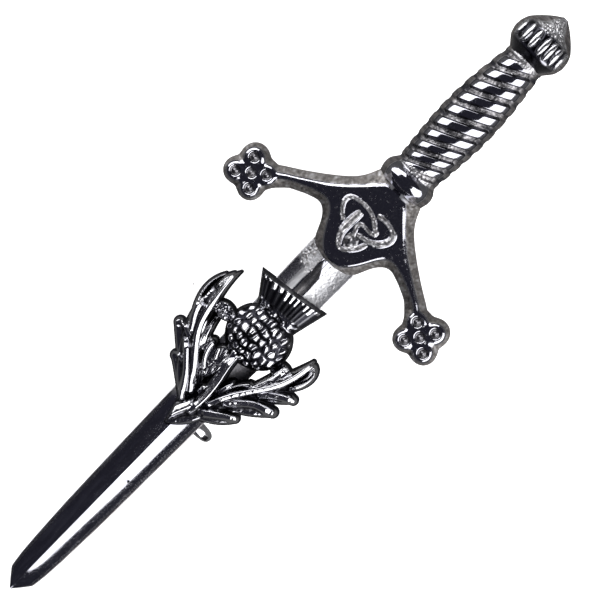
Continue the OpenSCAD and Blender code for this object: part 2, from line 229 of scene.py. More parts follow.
def smooth_path(points: list[tuple[float, float]], count: int = 48, sigma: float = 3.0) -> Array:
    """Soft curve by way of a few points.

    Args:
        points: the points, as x and s.
        count: number of points of the curve.
        sigma: width of the softening bell, in points of the curve.

    Returns:
        The curve's points. Its two ends stay where the first and the last point are.
    """
    p = np.asarray(points, dtype=float)
    run = np.concatenate([[0], np.cumsum(np.hypot(*np.diff(p, axis=0).T))])
    at = np.linspace(0, run[-1], count)
    line = np.stack([np.interp(at, run, p[:, 0]), np.interp(at, run, p[:, 1])], axis=1)
    reach = int(3 * sigma)
    before = 2 * line[0] - line[1:reach + 1][::-1]
    after = 2 * line[-1] - line[-reach - 1:-1][::-1]
    return soften(np.concatenate([before, line, after]), sigma, (0,))[reach:-reach]


def along(path: Array, x: Array, s: Array) -> tuple[Array, Array, Array]:
    """Where each place lies beside a path.

    Args:
        path: the path's points.
        x: places across.
        s: places along the sword.

    Returns:
        The share of the path's length at the nearest point, the distance from it, and the side:
        positive on the left of the way that the path goes.
    """
    a = path[:-1]
    d = np.diff(path, axis=0)
    size = np.hypot(d[:, 0], d[:, 1])
    run = np.concatenate([[0], np.cumsum(size)])
    best = np.full(x.shape, np.inf)
    share = np.zeros(x.shape)
    side = np.zeros(x.shape)
    for k in range(len(a)):
        rx, rs = x - a[k, 0], s - a[k, 1]
        t = np.clip((rx * d[k, 0] + rs * d[k, 1]) / size[k] ** 2, 0, 1)
        gap = np.hypot(rx - t * d[k, 0], rs - t * d[k, 1])
        near = gap < best
        best = np.where(near, gap, best)
        share = np.where(near, (run[k] + t * size[k]) / run[-1], share)
        side = np.where(near, np.sign(d[k, 0] * rs - d[k, 1] * rx), side)
    return share, best, best * side


def melt(a: Array, b: Array, width: float) -> Array:
    """The higher of two surfaces, run into each other: (a + b + root of ((a - b)^2 + width^2)) / 2."""
    return 0.5 * (a + b + np.sqrt((a - b) ** 2 + width * width))


@dataclass
class Relief:
    """A low casting as a height over a square grid, with an outline where its level falls below 0.

    The level is about the distance to the outline, positive inside. The grid's corners next to the
    outline are moved onto it along the level's slope, so the outline is smooth.
    """

    x0: float
    x1: float
    s0: float
    s1: float
    cell: float = 0.08
    x: Array = field(init=False)
    s: Array = field(init=False)

    def __post_init__(self) -> None:
        """Lays out the grid."""
        across = np.arange(self.x0, self.x1 + self.cell / 2, self.cell)
        up = np.arange(self.s0, self.s1 + self.cell / 2, self.cell)
        self.x, self.s = np.meshgrid(across, up, indexing="ij")

    def soft(self, values: Array, mm: float) -> Array:
        """Softens values by a bell whose width is given in mm."""
        return soften(values, mm / self.cell)

    def away(self, x: float, s: float, half_x: float = 1.0, half_s: float = 1.0) -> Array:
        """Distance from a place, in shares of a half width along each axis."""
        return np.hypot((self.x - x) / half_x, (self.s - s) / half_s)

    def noise(self, seed: int, mm: float, long_mm: float = 0.0) -> Array:
        """Random hammered look with a spread of 1.

        Args:
            seed: start of the random numbers.
            mm: size of the lumps.
            long_mm: their length along s, where it differs.

        Returns:
            The values over the grid.
        """
        return lumps(np.random.default_rng(seed), self.x.shape, mm / self.cell, (long_mm or mm) / self.cell)

    def build(self, name: str, level: Array, top: Array, bottom: Array,
              marks: dict[str, Array]) -> bpy.types.Object:
        """Makes the closed casting.

        Args:
            name: the piece's name.
            level: signed distance to the outline.
            top: height of the face.
            bottom: height of the underside.
            marks: values over the grid, by the attribute's name.

        Returns:
            The object.
        """
        centre = (level[1:, 1:] + level[:-1, 1:] + level[1:, :-1] + level[:-1, :-1]) / 4
        keep = centre > 0
        wide = np.pad(keep, 1)
        touching = [wide[:-1, :-1], wide[1:, :-1], wide[:-1, 1:], wide[1:, 1:]]
        used = np.any(touching, axis=0)
        edge = used & ~np.all(touching, axis=0)
        gx, gs = np.gradient(level, self.cell)
        steep = np.maximum(gx ** 2 + gs ** 2, 0.05)
        shift = np.where(edge, np.clip(level, -self.cell, self.cell) / steep, 0)
        limit = 0.7 * self.cell
        x = self.x - np.clip(shift * gx, -limit, limit)
        s = self.s - np.clip(shift * gs, -limit, limit)

        number = np.full(used.shape, -1)
        number[used] = np.arange(used.sum())
        a, b = number[:-1, :-1][keep], number[1:, :-1][keep]
        c, d = number[1:, 1:][keep], number[:-1, 1:][keep]
        face = np.stack([a, b, c, d], axis=-1)
        count = int(used.sum())
        under = np.stack([d, c, b, a], axis=-1) + count

        pairs = face[:, [0, 1, 1, 2, 2, 3, 3, 0]].reshape(-1, 2)
        key = pairs[:, 0] * count + pairs[:, 1]
        back = pairs[:, 1] * count + pairs[:, 0]
        open_pairs = pairs[~np.isin(key, back)]
        i, j = open_pairs[:, 0], open_pairs[:, 1]
        wall = np.stack([j, i, i + count, j + count], axis=-1)

        upper = to_row(x[used], s[used], top[used])
        lower = to_row(x[used], s[used], bottom[used])
        both = {k: np.concatenate([v[used], v[used]]) for k, v in marks.items()}
        return mesh_object(name, np.concatenate([upper, lower]), np.concatenate([face, under, wall]), both)


@dataclass(frozen=True)
class Net:
    """A node tree, with a short way to add each kind of node that the finishes need."""

    tree: bpy.types.NodeTree

    def feed(self, node: bpy.types.Node, **values: object) -> bpy.types.Node:
        """Sets a node's inputs.

        Args:
            node: the node.
            **values: sockets, numbers and colours, by the input's name with _ for a space.

        Returns:
            The node.
        """
        for key, value in values.items():
            self.put(node.inputs[key.replace("_", " ")], value)
        return node

    def put(self, inlet: Socket, value: object) -> None:
        """Links a socket to an input, or sets the input to a number or a colour."""
        if isinstance(value, Socket):
            self.tree.links.new(value, inlet)
        else:
            inlet.default_value = (*value, 1) if isinstance(value, tuple) else value

    def place(self) -> Socket:
        """Object coordinates. Returns: their socket."""
        return self.tree.nodes.new("ShaderNodeTexCoord").outputs["Object"]

    def attribute(self, name: str) -> Socket:
        """One of the mesh's own attributes. Returns: its socket."""
        node = self.tree.nodes.new("ShaderNodeAttribute")
        node.attribute_name = name
        return node.outputs["Fac"]

    def math(self, operation: str, *values: object) -> Socket:
        """One sum. Args: the operation's name, and its sockets or numbers. Returns: its socket."""
        node = self.tree.nodes.new("ShaderNodeMath")
        node.operation = operation
        for inlet, value in zip(node.inputs, values):
            self.put(inlet, value)
        return node.outputs[0]

    def mix(self, share: Socket, a: object, b: object) -> Socket:
        """Blends two colours. Args: the share of b, and the two. Returns: the blend's socket."""
        node = self.tree.nodes.new("ShaderNodeMix")
        node.data_type = "RGBA"
        for slot, value in ((0, share), (6, a), (7, b)):
            self.put(node.inputs[slot], value)
        return node.outputs[2]

    def noise(self, place: Socket, per_mm: float, detail: float, rough: float = 0.6) -> Socket:
        """Noise with so many lumps a millimetre. Returns: its socket, from 0 to 1."""
        node = self.feed(self.tree.nodes.new("ShaderNodeTexNoise"), Vector=place, Scale=per_mm / MM,
                         Detail=detail, Roughness=rough)
        return node.outputs["Fac"]

    def stretch(self, value: Socket, source: tuple[float, float], target: tuple[float, float]) -> Socket:
        """Stretches a value from one range to another, and clamps it. Returns: its socket."""
        node = self.feed(self.tree.nodes.new("ShaderNodeMapRange"), Value=value, From_Min=source[0],
                         From_Max=source[1], To_Min=target[0], To_Max=target[1])
        return node.outputs["Result"]

    def bump(self, height: Socket, strength: float, mm: float) -> Socket:
        """Bump of so many mm. Returns: the normal's socket."""
        node = self.feed(self.tree.nodes.new("ShaderNodeBump"), Height=height, Strength=strength,
                         Distance=mm * MM)
        return node.outputs["Normal"]

    def group(self, group: bpy.types.NodeTree, **values: object) -> bpy.types.bpy_prop_collection:
        """Places a shared group. Args: the group and its inputs' values. Returns: its outputs."""
        node = self.tree.nodes.new("ShaderNodeGroup")
        node.node_tree = group
        return self.feed(node, **values).outputs


@dataclass(frozen=True)
class CastSkin:
    """Dark plating on cast metal: polished faces, grey walls, black hollows, bright rubbed metal, painted
    shade and highlights.
    """

    name: str
    plated: tuple[float, float, float]
    wall: tuple[float, float, float]
    # Black for soot in some hollows and for painted shade elsewhere.
    soot_and_shade: tuple[float, float, float]
    bare: tuple[float, float, float]
    gloss: float = 0.13
    matt: float = 0.62
    grain: float = 0.35
    grain_mm: float = 0.07
    speckle: float = 0.3

    def material(self, groups: "SkinGroups") -> bpy.types.Material:
        """Puts the finish together. Args: the shared groups. Returns: the material."""
        made, net, shader = new_material(self.name)
        polish = net.attribute("polish")
        grain = net.group(groups.grain, Place=net.place(), Polish=polish, Speckle=self.speckle)
        skin = net.group(groups.plating, Plated=self.plated, Wall=self.wall, Soot=self.soot_and_shade, Bare=self.bare,
                         Gloss=self.gloss, Matt=self.matt, Polish=polish, Tone=net.attribute("tone"),
                         Speckle=grain["Speckle"])
        net.feed(shader, Base_Color=skin["Color"], Roughness=skin["Roughness"], Metallic=1.0,
                 Normal=net.bump(grain["Height"], self.grain, self.grain_mm))
        return made


@dataclass(frozen=True)
class DrawnWire:
    """Bright drawn steel wire with fine lines, a few dull patches and a painted dark reflection where it is
    marked.
    """

    name: str
    steel: tuple[float, float, float]
    dull: tuple[float, float, float]
    gloss: float
    worn: float
    # Colour of the painted dark reflection.
    dark_reflection: tuple[float, float, float] = (0.02, 0.02, 0.022)
    lines: float = 0.15
    lines_mm: float = 0.02

    def material(self, groups: "SkinGroups") -> bpy.types.Material:
        """Puts the finish together. Args: the shared groups. Returns: the material."""
        made, net, shader = new_material(self.name)
        wire = net.group(groups.wire, Place=net.place(), Gloss=self.gloss, Worn=self.worn)
        steel = net.mix(wire["Patch"], self.steel, self.dull)
        net.feed(shader, Base_Color=net.mix(net.attribute("dark_reflection"), steel, self.dark_reflection), Metallic=1.0,
                 Roughness=wire["Roughness"], Normal=net.bump(wire["Height"], self.lines, self.lines_mm))
        return made


def new_material(name: str) -> tuple[bpy.types.Material, Net, bpy.types.Node]:
    """Starts a material.

    Args:
        name: the material's name.

    Returns:
        The material, its tree, and its Principled shader, which is joined to the output.
    """
    made = bpy.data.materials.new(name)
    made.use_nodes = True
    return made, Net(made.node_tree), made.node_tree.nodes["Principled BSDF"]


def new_group(name: str, inputs: dict[str, str], outputs: dict[str, str]) -> tuple:
    """Starts a shader node group.

    Args:
        name: the group's name.
        inputs: socket types by name.
        outputs: socket types by name.

    Returns:
        The group, its net, the sockets of its inputs by name, and its output node.
    """
    group = bpy.data.node_groups.new(name, "ShaderNodeTree")
    for way, sockets in (("INPUT", inputs), ("OUTPUT", outputs)):
        for key, kind in sockets.items():
            group.interface.new_socket(name=key, in_out=way, socket_type=kind)
    given = group.nodes.new("NodeGroupInput").outputs
    return group, Net(group), given, group.nodes.new("NodeGroupOutput")


class SkinGroups:
    """Shader node groups that the finishes share."""

    def __init__(self) -> None:
        """Builds the groups once."""
        self.grain = self._grain()
        self.plating = self._plating()
        self.wire = self._wire()

    @staticmethod
    def _grain() -> bpy.types.NodeTree:
        """Sand grain of the cast skin, weak on polished faces, and a scatter of tiny bright specks."""
        group, net, given, out = new_group(
            "cast_grain", {"Place": VECTOR, "Polish": FLOAT, "Speckle": FLOAT},
            {"Height": FLOAT, "Speckle": FLOAT})
        place = given["Place"]
        both = net.math("MULTIPLY_ADD", net.noise(place, 9.0, 2), 0.6, net.noise(place, 2.4, 3))
        rough = net.stretch(given["Polish"], (0, 1), (1.0, 0.06))
        specks = net.stretch(net.noise(place, 5.5, 2, 0.7), (0.5, 0.68), (0, 1))
        net.feed(out, Height=net.math("MULTIPLY", both, rough),
                 Speckle=net.math("MULTIPLY", specks, given["Speckle"]))
        return group

    @staticmethod
    def _plating() -> bpy.types.NodeTree:
        """Colour and roughness of the skin.

        The wall's colour turns into the plating's with the polish. A tone below 0 blends in the Soot
        colour, a sooty black in some hollows and painted shade elsewhere, and one above 0 blends in bare
        metal, which is rubbed metal in places and a painted highlight in others, each the more the further
        it is from 0.
        Specks are bare too.
        """
        inputs = dict.fromkeys(("Plated", "Wall", "Soot", "Bare"), COLOUR)
        inputs |= dict.fromkeys(("Polish", "Tone", "Speckle", "Gloss", "Matt"), FLOAT)
        group, net, given, out = new_group("plating", inputs, {"Color": COLOUR, "Roughness": FLOAT})
        tone = given["Tone"]
        base = net.mix(given["Polish"], given["Wall"], given["Plated"])
        dark = net.stretch(tone, (-1, 0), (1, 0))
        speck = net.math("MULTIPLY", given["Speckle"], net.stretch(tone, (-1, 1), (0.2, 1.4)))
        bright = net.math("MAXIMUM", net.stretch(tone, (0, 1), (0, 1)), speck)
        gap = net.math("SUBTRACT", given["Matt"], given["Gloss"])
        unpolished = net.math("SUBTRACT", 1.0, given["Polish"])
        rough = net.math("MULTIPLY_ADD", unpolished, gap, given["Gloss"])
        rough = net.math("MULTIPLY_ADD", dark, 0.12, rough)
        net.feed(out, Color=net.mix(bright, net.mix(dark, base, given["Soot"]), given["Bare"]),
                 Roughness=net.math("MULTIPLY_ADD", speck, 0.5, rough))
        return group

    @staticmethod
    def _wire() -> bpy.types.NodeTree:
        """Patches, roughness and fine drawing lines of a steel wire."""
        group, net, given, out = new_group(
            "drawn_wire", {"Place": VECTOR, "Gloss": FLOAT, "Worn": FLOAT},
            {"Patch": FLOAT, "Roughness": FLOAT, "Height": FLOAT})
        patch = net.stretch(net.noise(given["Place"], 0.9, 4), (0.48, 0.7), (0, 1))
        patch = net.math("MULTIPLY", patch, given["Worn"])
        net.feed(out, Patch=patch, Roughness=net.math("MULTIPLY_ADD", patch, 0.25, given["Gloss"]),
                 Height=net.noise(given["Place"], 12.0, 2))
        return group


@dataclass
class Blade:
    """The hollow-ground blade with its fuller, from its point to below the guard.

    Between the thistle and the guard its plating is worn through: the right side is bare and bright,
    the upper left is sandy, and a strip in the middle of the left side is rubbed.
    """

    end_s: float = 66.0
    point_s: float = 3.0
    point_rows: int = 120
    rows: int = 900
    across: int = 91
    fuller_depth: float = 0.2
    fuller_half_w: float = 0.72
    fuller_x: float = -0.08
    fuller_lean: float = 0.42
    fuller_low: tuple = (43.0, 44.0)
    fuller_high: tuple = (56.75, 54.15)
    bevel_drop: float = 0.1
    bevel_from: float = 0.975
    bare_s: tuple = (49.9, 50.9)
    sandy_s: tuple = (54.0, 55.2)
    thistle_s: tuple = (31, 32.5, 51.4, 50.6)
    # Noises: random seed, size in samples along s and across
    sand: tuple = (41, 1.0, 1.0)
    cloud: tuple = (42, 9.0, 2.0)
    pit_at: tuple = (1.1, 19.9)
    pit_r: float = 0.12

    def groove(self, x: Array, s: Array) -> Array:
        """Share of the fuller's depth.

        It is the power 1.5 of 1 - (distance from the middle line / half width) squared. The half
        width shrinks towards both ends, and the middle line leans to the left at the upper one.

        Args:
            x: places across.
            s: places along.

        Returns:
            The share, from 0 to 1.
        """
        taper = np.sqrt(ramp(*self.fuller_high, s) * ramp(*self.fuller_low, s))
        lean = self.fuller_lean * ramp(54.0, self.fuller_high[0], s)
        part = np.abs(x - self.fuller_x + lean) / (self.fuller_half_w * taper + 0.01)
        return np.clip(1 - part ** 2, 0, 1) ** 1.5 * taper

    def finish(self, x: Array, s: Array, u: Array, groove: Array) -> tuple[Array, Array, Array]:
        """Polish, tone and small rises of the face.

        Args:
            x: places across.
            s: places along.
            u: places across as shares of the half width.
            groove: share of the fuller's depth.

        Returns:
            The polish, the tone and the change of height.
        """
        sand = lumps(np.random.default_rng(self.sand[0]), x.shape, *self.sand[1:])
        cloud = lumps(np.random.default_rng(self.cloud[0]), x.shape, *self.cloud[1:])
        wavy = 0.25 * np.sin(5.1 * x + 1.3) + 0.15 * np.sin(11.7 * x)
        bare = ramp(*self.bare_s, s + wavy)
        right = ramp(0.5, 0.75, x)
        not_left = ramp(-0.95, -0.7, x)
        sandy = ramp(*self.sandy_s, s + 0.25 * (x + 2) + wavy) * (1 - not_left)
        strip = ramp(-2.7, -1.3, x) * (1 - ramp(-1.0, -0.85, x))
        plain = np.clip(1 - sandy - not_left, 0, 1)
        out = np.abs(u)

        polish = 1 - bare * (0.5 * right + 0.8 * sandy + np.maximum(0.6 * strip, 0.3 * plain))
        tone = bare * (right * (1 - 0.3 * np.clip(sand - 0.5, 0, 2))
                       + (0.1 + 0.3 * ramp(54, 51.5, s)) * plain
                       + np.maximum(sandy * (1 - 0.8 * np.clip(sand, -0.2, 2)), 0.7 * strip))
        rise = sand * bare * np.maximum(0.007 * right, 0.05 * sandy) * ramp(1, 0.9, out)

        start, full, end, still = self.thistle_s
        covered = ramp(start, full, s) * ramp(end, still, s)
        # Painted light lightens the left of the blade beneath the thistle, and painted shade darkens its
        # right.
        tone += covered * (1.25 * ramp(0.1, -0.2, x) - 0.45 + 0.1 * sand)
        polish -= 0.5 * covered
        open_face = (1 - covered) * (1 - bare)
        # Painted reflection: a faint lighter band on the left side next to the crease.
        tone += 0.07 * ramp(-1.0, -0.8, x) * ramp(0.05, -0.1, x) * open_face
        tone += 0.2 * np.clip(cloud, -0.5, 2) * open_face
        polish -= 0.35 * ramp(0.7, 0.86, out) * (1 - bare)

        pit = np.exp(-((x - self.pit_at[0]) ** 2 + (s - self.pit_at[1]) ** 2) / self.pit_r ** 2)
        rise -= 0.05 * pit
        tone -= 0.6 * pit
        deep = ramp(0.05, 0.3, groove) * (1 - right)
        # Painted shade darkens the fuller, less where the plating is worn through.
        tone = tone * (1 - deep) - (0.85 - 0.8 * bare * ramp(53.4, 52, s)) * deep
        polish = (polish - (0.35 + 0.3 * bare) * deep) * (1 - 0.6 * ramp(0.93, 0.985, out))
        return polish, tone, rise

    def build(self) -> bpy.types.Object:
        """Lofts the blade along s.

        The face is blade_top less the fuller. The edges have a bevel over an upright wall.

        Returns:
            The blade.
        """
        near = np.linspace(0, self.point_s, self.point_rows)
        far = np.linspace(self.point_s, self.end_s, self.rows - self.point_rows + 1)
        s = np.concatenate([near[:-1], far])[:, None]
        k = np.linspace(-1, 1, self.across)[None, :]
        u = np.sign(k) * np.abs(k) ** 1.15
        w = blade_half_width(s)
        x, u, s_all = u * w, u + 0 * w, s + 0 * u
        groove = self.groove(x, s)
        bevel = np.clip((np.abs(u) - self.bevel_from) / (1 - self.bevel_from), 0, 1)
        polish, tone, rise = self.finish(x, s, u, groove)
        h = blade_top(x, s) - self.fuller_depth * groove - self.bevel_drop * bevel ** 2 + rise

        face = np.stack([x, s_all, h], axis=-1)
        foot = [np.stack([side * w, s, np.full_like(s, level)], axis=-1)
                for side, level in ((1, 0.45), (1, 0.0), (-1, 0.0), (-1, 0.45))]
        ring = np.concatenate([face, *foot], axis=1)
        walls = np.zeros((len(s), len(foot)))
        marks = {"polish": np.concatenate([polish, walls + 0.2], axis=1),
                 "tone": np.concatenate([tone, walls], axis=1)}
        return loft_object("blade", to_row(ring[..., 0], ring[..., 1], ring[..., 2]), marks)


# Guard, for one side: x, low and top edge of the back, low and top edge of the face
GUARD = np.array([
    [0, 56.7, 70.4, 57.3, 69.5], [1, 56.8, 70.4, 57.4, 69.4], [1.7, 57, 70.4, 57.75, 69.15],
    [2.4, 57.2, 70.4, 58.45, 68.5], [3, 57.5, 70.35, 59.25, 67.85], [3.5, 58, 69.9, 60.1, 67.3],
    [3.9, 59.1, 68.6, 60.9, 66.9], [4.4, 60.2, 67.75, 61.75, 66.4], [5, 61, 66.95, 62.35, 65.8],
    [5.7, 61.5, 66.3, 62.6, 65.2], [6.5, 61.55, 65.6, 62.55, 64.5], [8, 61.05, 64.45, 62.1, 63.5],
    [10, 60.1, 63.05, 61.2, 62.2], [11.5, 58.6, 62.1, 60.3, 61.3], [12.5, 57.4, 61.5, 59.4, 60.5],
    [13.6, 57.4, 60.6, 58.8, 59.6],
])


# Bands of the knot: height of the band's foot over the face, then x, s and width along it
KNOT = (
    (0.0, ((-2.4, 62.15, 0.5), (-3.05, 62.65, 0.5), (-3.6, 63.3, 0.5), (-3.95, 63.95, 0.5),
           (-4.0, 64.6, 0.5), (-3.6, 65.1, 0.5), (-2.4, 65.35, 0.55), (-1.2, 65.4, 0.6), (-0.2, 65.15, 0.6),
           (0.5, 64.75, 0.6), (1.0, 64.25, 0.6), (1.5, 63.9, 0.6), (2.0, 63.75, 0.5))),
    (0.04, ((0.35, 65.5, 0.6), (1.0, 65.75, 0.65), (2.0, 65.7, 0.65), (3.0, 65.45, 0.65),
            (3.6, 65.0, 0.75), (3.7, 64.3, 0.8), (3.3, 63.5, 0.8), (2.7, 62.85, 0.75),
            (1.9, 62.4, 0.6), (1.0, 62.25, 0.55), (0.1, 62.05, 0.5))),
    (0.08, ((-1.45, 64.45, 0.8), (-1.55, 63.4, 1.05), (-1.62, 62.4, 1.05), (-1.6, 61.5, 0.95),
            (-1.35, 60.5, 0.8), (-0.9, 59.7, 0.65), (-0.35, 59.3, 0.55), (0.2, 59.5, 0.55),
            (0.8, 60.1, 0.6), (1.35, 60.8, 0.6), (1.7, 61.5, 0.55), (1.8, 62.0, 0.5))),
    (-0.06, ((1.9, 63.8, 0.5), (1.6, 63.4, 0.5), (0.9, 63.3, 0.5), (0.0, 63.45, 0.5), (-0.5, 63.25, 0.5),
             (-0.65, 62.8, 0.45), (-0.35, 62.2, 0.45), (-0.1, 61.6, 0.4))),
)


@dataclass
class Guard:
    """The guard with its shield, drooping arms, dimpled ends and the interlaced knot."""

    face_t: float = 3.4
    foot: float = 0.7
    arm_drop: float = 0.4
    fall_x: float = 6.5
    end_x: float = 13.6
    lobes: tuple = ((14.6, 58.35), (15.7, 60.0), (13.05, 59.45), (16.25, 57.15), (13.45, 56.75))
    lobe_r: float = 1.53
    lobe_face_r: float = 1.2
    dimple_r: float = 0.68
    dimple_depth: float = 0.34
    pip_r: float = 0.27
    bevel_drop: float = 0.42
    crown: float = 0.1
    band_lift: float = 0.08
    band_rise: float = 0.3
    dive: float = 0.3
    dive_len: float = 0.35
    rail_at: float = 0.66
    core_at: tuple = (0.15, 60.9, 1.0, 1.1)
    neck_s: tuple = (68.7, 69.2)
    # Noises: random seed and size in mm
    wall_sand: tuple = ((4, 0.22), (5, 0.09))
    wall_stains: tuple = ((9, 0.3), (12, 0.1))
    pit_sand: tuple = (6, 0.3)
    knot_sand: tuple = (7, 0.11)
    core_sand: tuple = (16, 0.13)
    knot_stains: tuple = (10, 0.12)
    core_stains: tuple = (13, 0.14)
    neck_edge: tuple = (8, 0.3)
    neck_stains: tuple = (14, 0.12)
    face_specks: tuple = (15, 0.09)

    def outline(self, g: Relief) -> tuple[Array, Array]:
        """Distances to the outlines of the back and of the face.

        Args:
            g: the grid.

        Returns:
            Both, positive inside. Those to an edge that slopes are the distance along s times the
            cosine of its slope.
        """
        reach = np.abs(g.x)
        rows = [column(GUARD, reach[:, 0], col, 0.28)[:, None] for col in range(1, 5)]
        lean = [1 / np.sqrt(1 + np.gradient(row[:, 0], g.cell) ** 2)[:, None] for row in rows]
        back = np.minimum((g.s - rows[0]) * lean[0], (rows[1] - g.s) * lean[1])
        face = np.minimum((g.s - rows[2]) * lean[2], (rows[3] - g.s) * lean[3])
        past = self.end_x - reach
        lobes = lobe_face = np.full(g.x.shape, FAR)
        for x, s in self.lobes:
            gap = np.hypot(reach - x, g.s - s)
            lobes = melt(lobes, self.lobe_r - gap, 0.7)
            lobe_face = melt(lobe_face, self.lobe_face_r - gap, 0.5)
        return melt(np.minimum(back, past), lobes, 0.1), melt(np.minimum(face, past), lobe_face, 0.25)

    def knot(self, g: Relief) -> tuple[Array, Array, Array]:
        """Height of the knot's bands over the face.

        Each band has two rails beside a groove, and a finer ridge in the groove's middle. Its ends
        sink by dive over their last dive_len mm, so that it goes under the band that it meets.

        Args:
            g: the grid.

        Returns:
            The height, far below the face where there is no band, how far a place is on a band, and
            how far it is on a rail.
        """
        high = np.full(g.x.shape, FAR)
        on = np.zeros(g.x.shape)
        rail = np.zeros(g.x.shape)
        for lift, points in KNOT:
            rows = np.array(points)
            share, gap, _ = along(smooth_path([row[:2] for row in points], 64, 2.2), g.x, g.s)
            run = np.concatenate([[0], np.cumsum(np.hypot(*np.diff(rows[:, :2], axis=0).T))])
            r = gap / (np.interp(share, run / run[-1], rows[:, 2]) / 2)
            rails = bell(r - self.rail_at, 0.22) + 0.45 * bell(r, 0.16)
            ends = np.minimum(share, 1 - share) * run[-1]
            h = lift + self.band_rise * (0.4 + 0.6 * rails) - self.dive * ramp(self.dive_len, 0.0, ends)
            shown = (r < 1.1) & (share > 0) & (share < 1)
            h = np.where(shown, h * ramp(1.1, 0.86, r), FAR)
            wins = h > high
            high = np.where(wins, h, high)
            on = np.maximum(on, np.where(shown, ramp(1.1, 0.9, r), 0))
            rail = np.where(wins, np.where(shown, np.clip(rails, 0, 1), 0), rail)
        return high, on, rail

    def dimples(self, g: Relief) -> tuple[Array, Array, Array]:
        """Round dimples in the lobes, each with a pip in its middle and a lip round it.

        Args:
            g: the grid.

        Returns:
            How far a place is in a dimple, how far it is on a lip, and the change of height.
        """
        pit, ring, rise = (np.zeros(g.x.shape) for _ in range(3))
        for x, s in self.lobes:
            gap = np.hypot(np.abs(g.x) - x, g.s - s)
            bowl = ramp(self.dimple_r + 0.1, self.dimple_r - 0.22, gap)
            pit = np.maximum(pit, bowl)
            ring = np.maximum(ring, bell(gap - self.dimple_r - 0.1, 0.13))
            rise += self.dimple_depth * (0.8 * bell(gap, self.pip_r) - bowl)
            rise += 0.07 * bell(gap - self.dimple_r - 0.12, 0.16)
        return pit, ring, rise

    def build(self) -> bpy.types.Object:
        """Works out the guard's height and finish over a grid.

        The face is level on the shield and sinks along the arms, with a crown and a bevel at its
        edge. Between the face's outline and the back's, the cast wall rises by the share of the way.
        The core is the rough place below the knot's point, and the neck the one under the collar.

        Returns:
            The guard.
        """
        g = Relief(-18.4, 18.4, 54.6, 70.8, 0.085)
        level, inner = self.outline(g)
        reach = np.abs(g.x)
        out = np.clip((reach - self.fall_x) / (self.end_x - self.fall_x), 0, 1)
        t = self.face_t - self.arm_drop * out
        way = np.clip(level / np.maximum(level - inner, 1e-6), 0, 1)
        wall = self.foot + (t - self.bevel_drop - self.foot) * way ** 0.75
        upper = ramp(9.5, 7.0, reach) * ramp(61.5, 63.5, g.s)
        bevel = 1 - np.clip(inner / (0.42 + 0.2 * upper), 0, 1)
        face = t - self.bevel_drop * bevel ** 2.2 + self.crown * ramp(0.3, 2.2, inner)
        pit, ring, rise = self.dimples(g)
        band, on, rail = self.knot(g)
        top = np.where(inner > 0, face, wall) + rise
        top = np.where(on > 0, np.maximum(top, self.face_t + self.band_lift + band), top)
        coarse, fine = (g.noise(*row) for row in self.wall_sand)
        top = g.soft(top, 0.05) + (0.04 * coarse + 0.03 * fine) * ramp(0.1, -0.2, inner)
        core = ramp(1.2, 0.8, g.away(*self.core_at)) * (1 - on)
        top = top + 0.02 * g.noise(*self.pit_sand) * pit + 0.035 * g.noise(*self.knot_sand) * on
        top = np.maximum(top + 0.06 * g.noise(*self.core_sand) * core, 0.3)

        neck = ramp(*self.neck_s, g.s + 0.15 * g.noise(*self.neck_edge))
        neck = neck * ramp(2.6, 2.2, reach) * ramp(0.45, 0.7, reach)
        polish = ramp(-0.06, 0.1, inner) * (1 - 0.7 * neck)
        polish = polish * (1 - 0.62 * on - 0.5 * core) * (1 - 0.35 * pit)
        tone = neck * ramp(-0.3, 0.1, inner) * (0.8 + 0.5 * g.noise(*self.neck_stains))
        tone = tone + on * np.clip(0.4 * rail + 0.1 + 0.3 * g.noise(*self.knot_stains), -0.3, 0.9)
        tone = tone + core * np.clip(0.9 * g.noise(*self.core_stains) - 0.2, -0.8, 0.9)
        # Painted shade darkens the dimples, and a painted highlight lightens their lips towards the arms'
        # ends.
        tone = tone - 0.25 * pit + 0.3 * ring * ramp(self.fall_x, self.end_x + 0.5, reach)
        coarse, fine = (g.noise(*row) for row in self.wall_stains)
        tone = tone + (0.14 * coarse + 0.22 * fine) * (1 - polish) * ramp(0, 0.2, level)
        specks = ramp(0.6, 2.0, g.noise(*self.face_specks)) * ramp(0.1, 0.5, inner) * (1 - on)
        return g.build("guard", level, top, np.zeros_like(top),
                       skin_marks(polish - 0.3 * specks, tone + 0.3 * specks))


# Collar and grip: s, half width
GRIP = np.array([
    [69.4, 3.4], [70.5, 3.73], [71.2, 3.78], [71.9, 3.55], [72.5, 3], [75, 3.28], [77.5, 3.5],
    [80, 3.68], [83, 3.68], [86, 3.5], [89, 3.12], [92, 2.72], [92.8, 2.7],
])
# Pommel: s, half width, height over the back
POMMEL = np.array([
    [91.9, 2.7, 3.2], [92.5, 3.2, 3.9], [93.2, 3.75, 4.7], [94.3, 4.05, 5.2], [95.3, 3.95, 5.1],
    [96.2, 3.6, 4.6], [96.8, 3.1, 4.1], [97.6, 2.3, 3.3], [98.4, 1.35, 2.3], [99, 0.45, 1.3],
    [99.1, 0.2, 1],
])


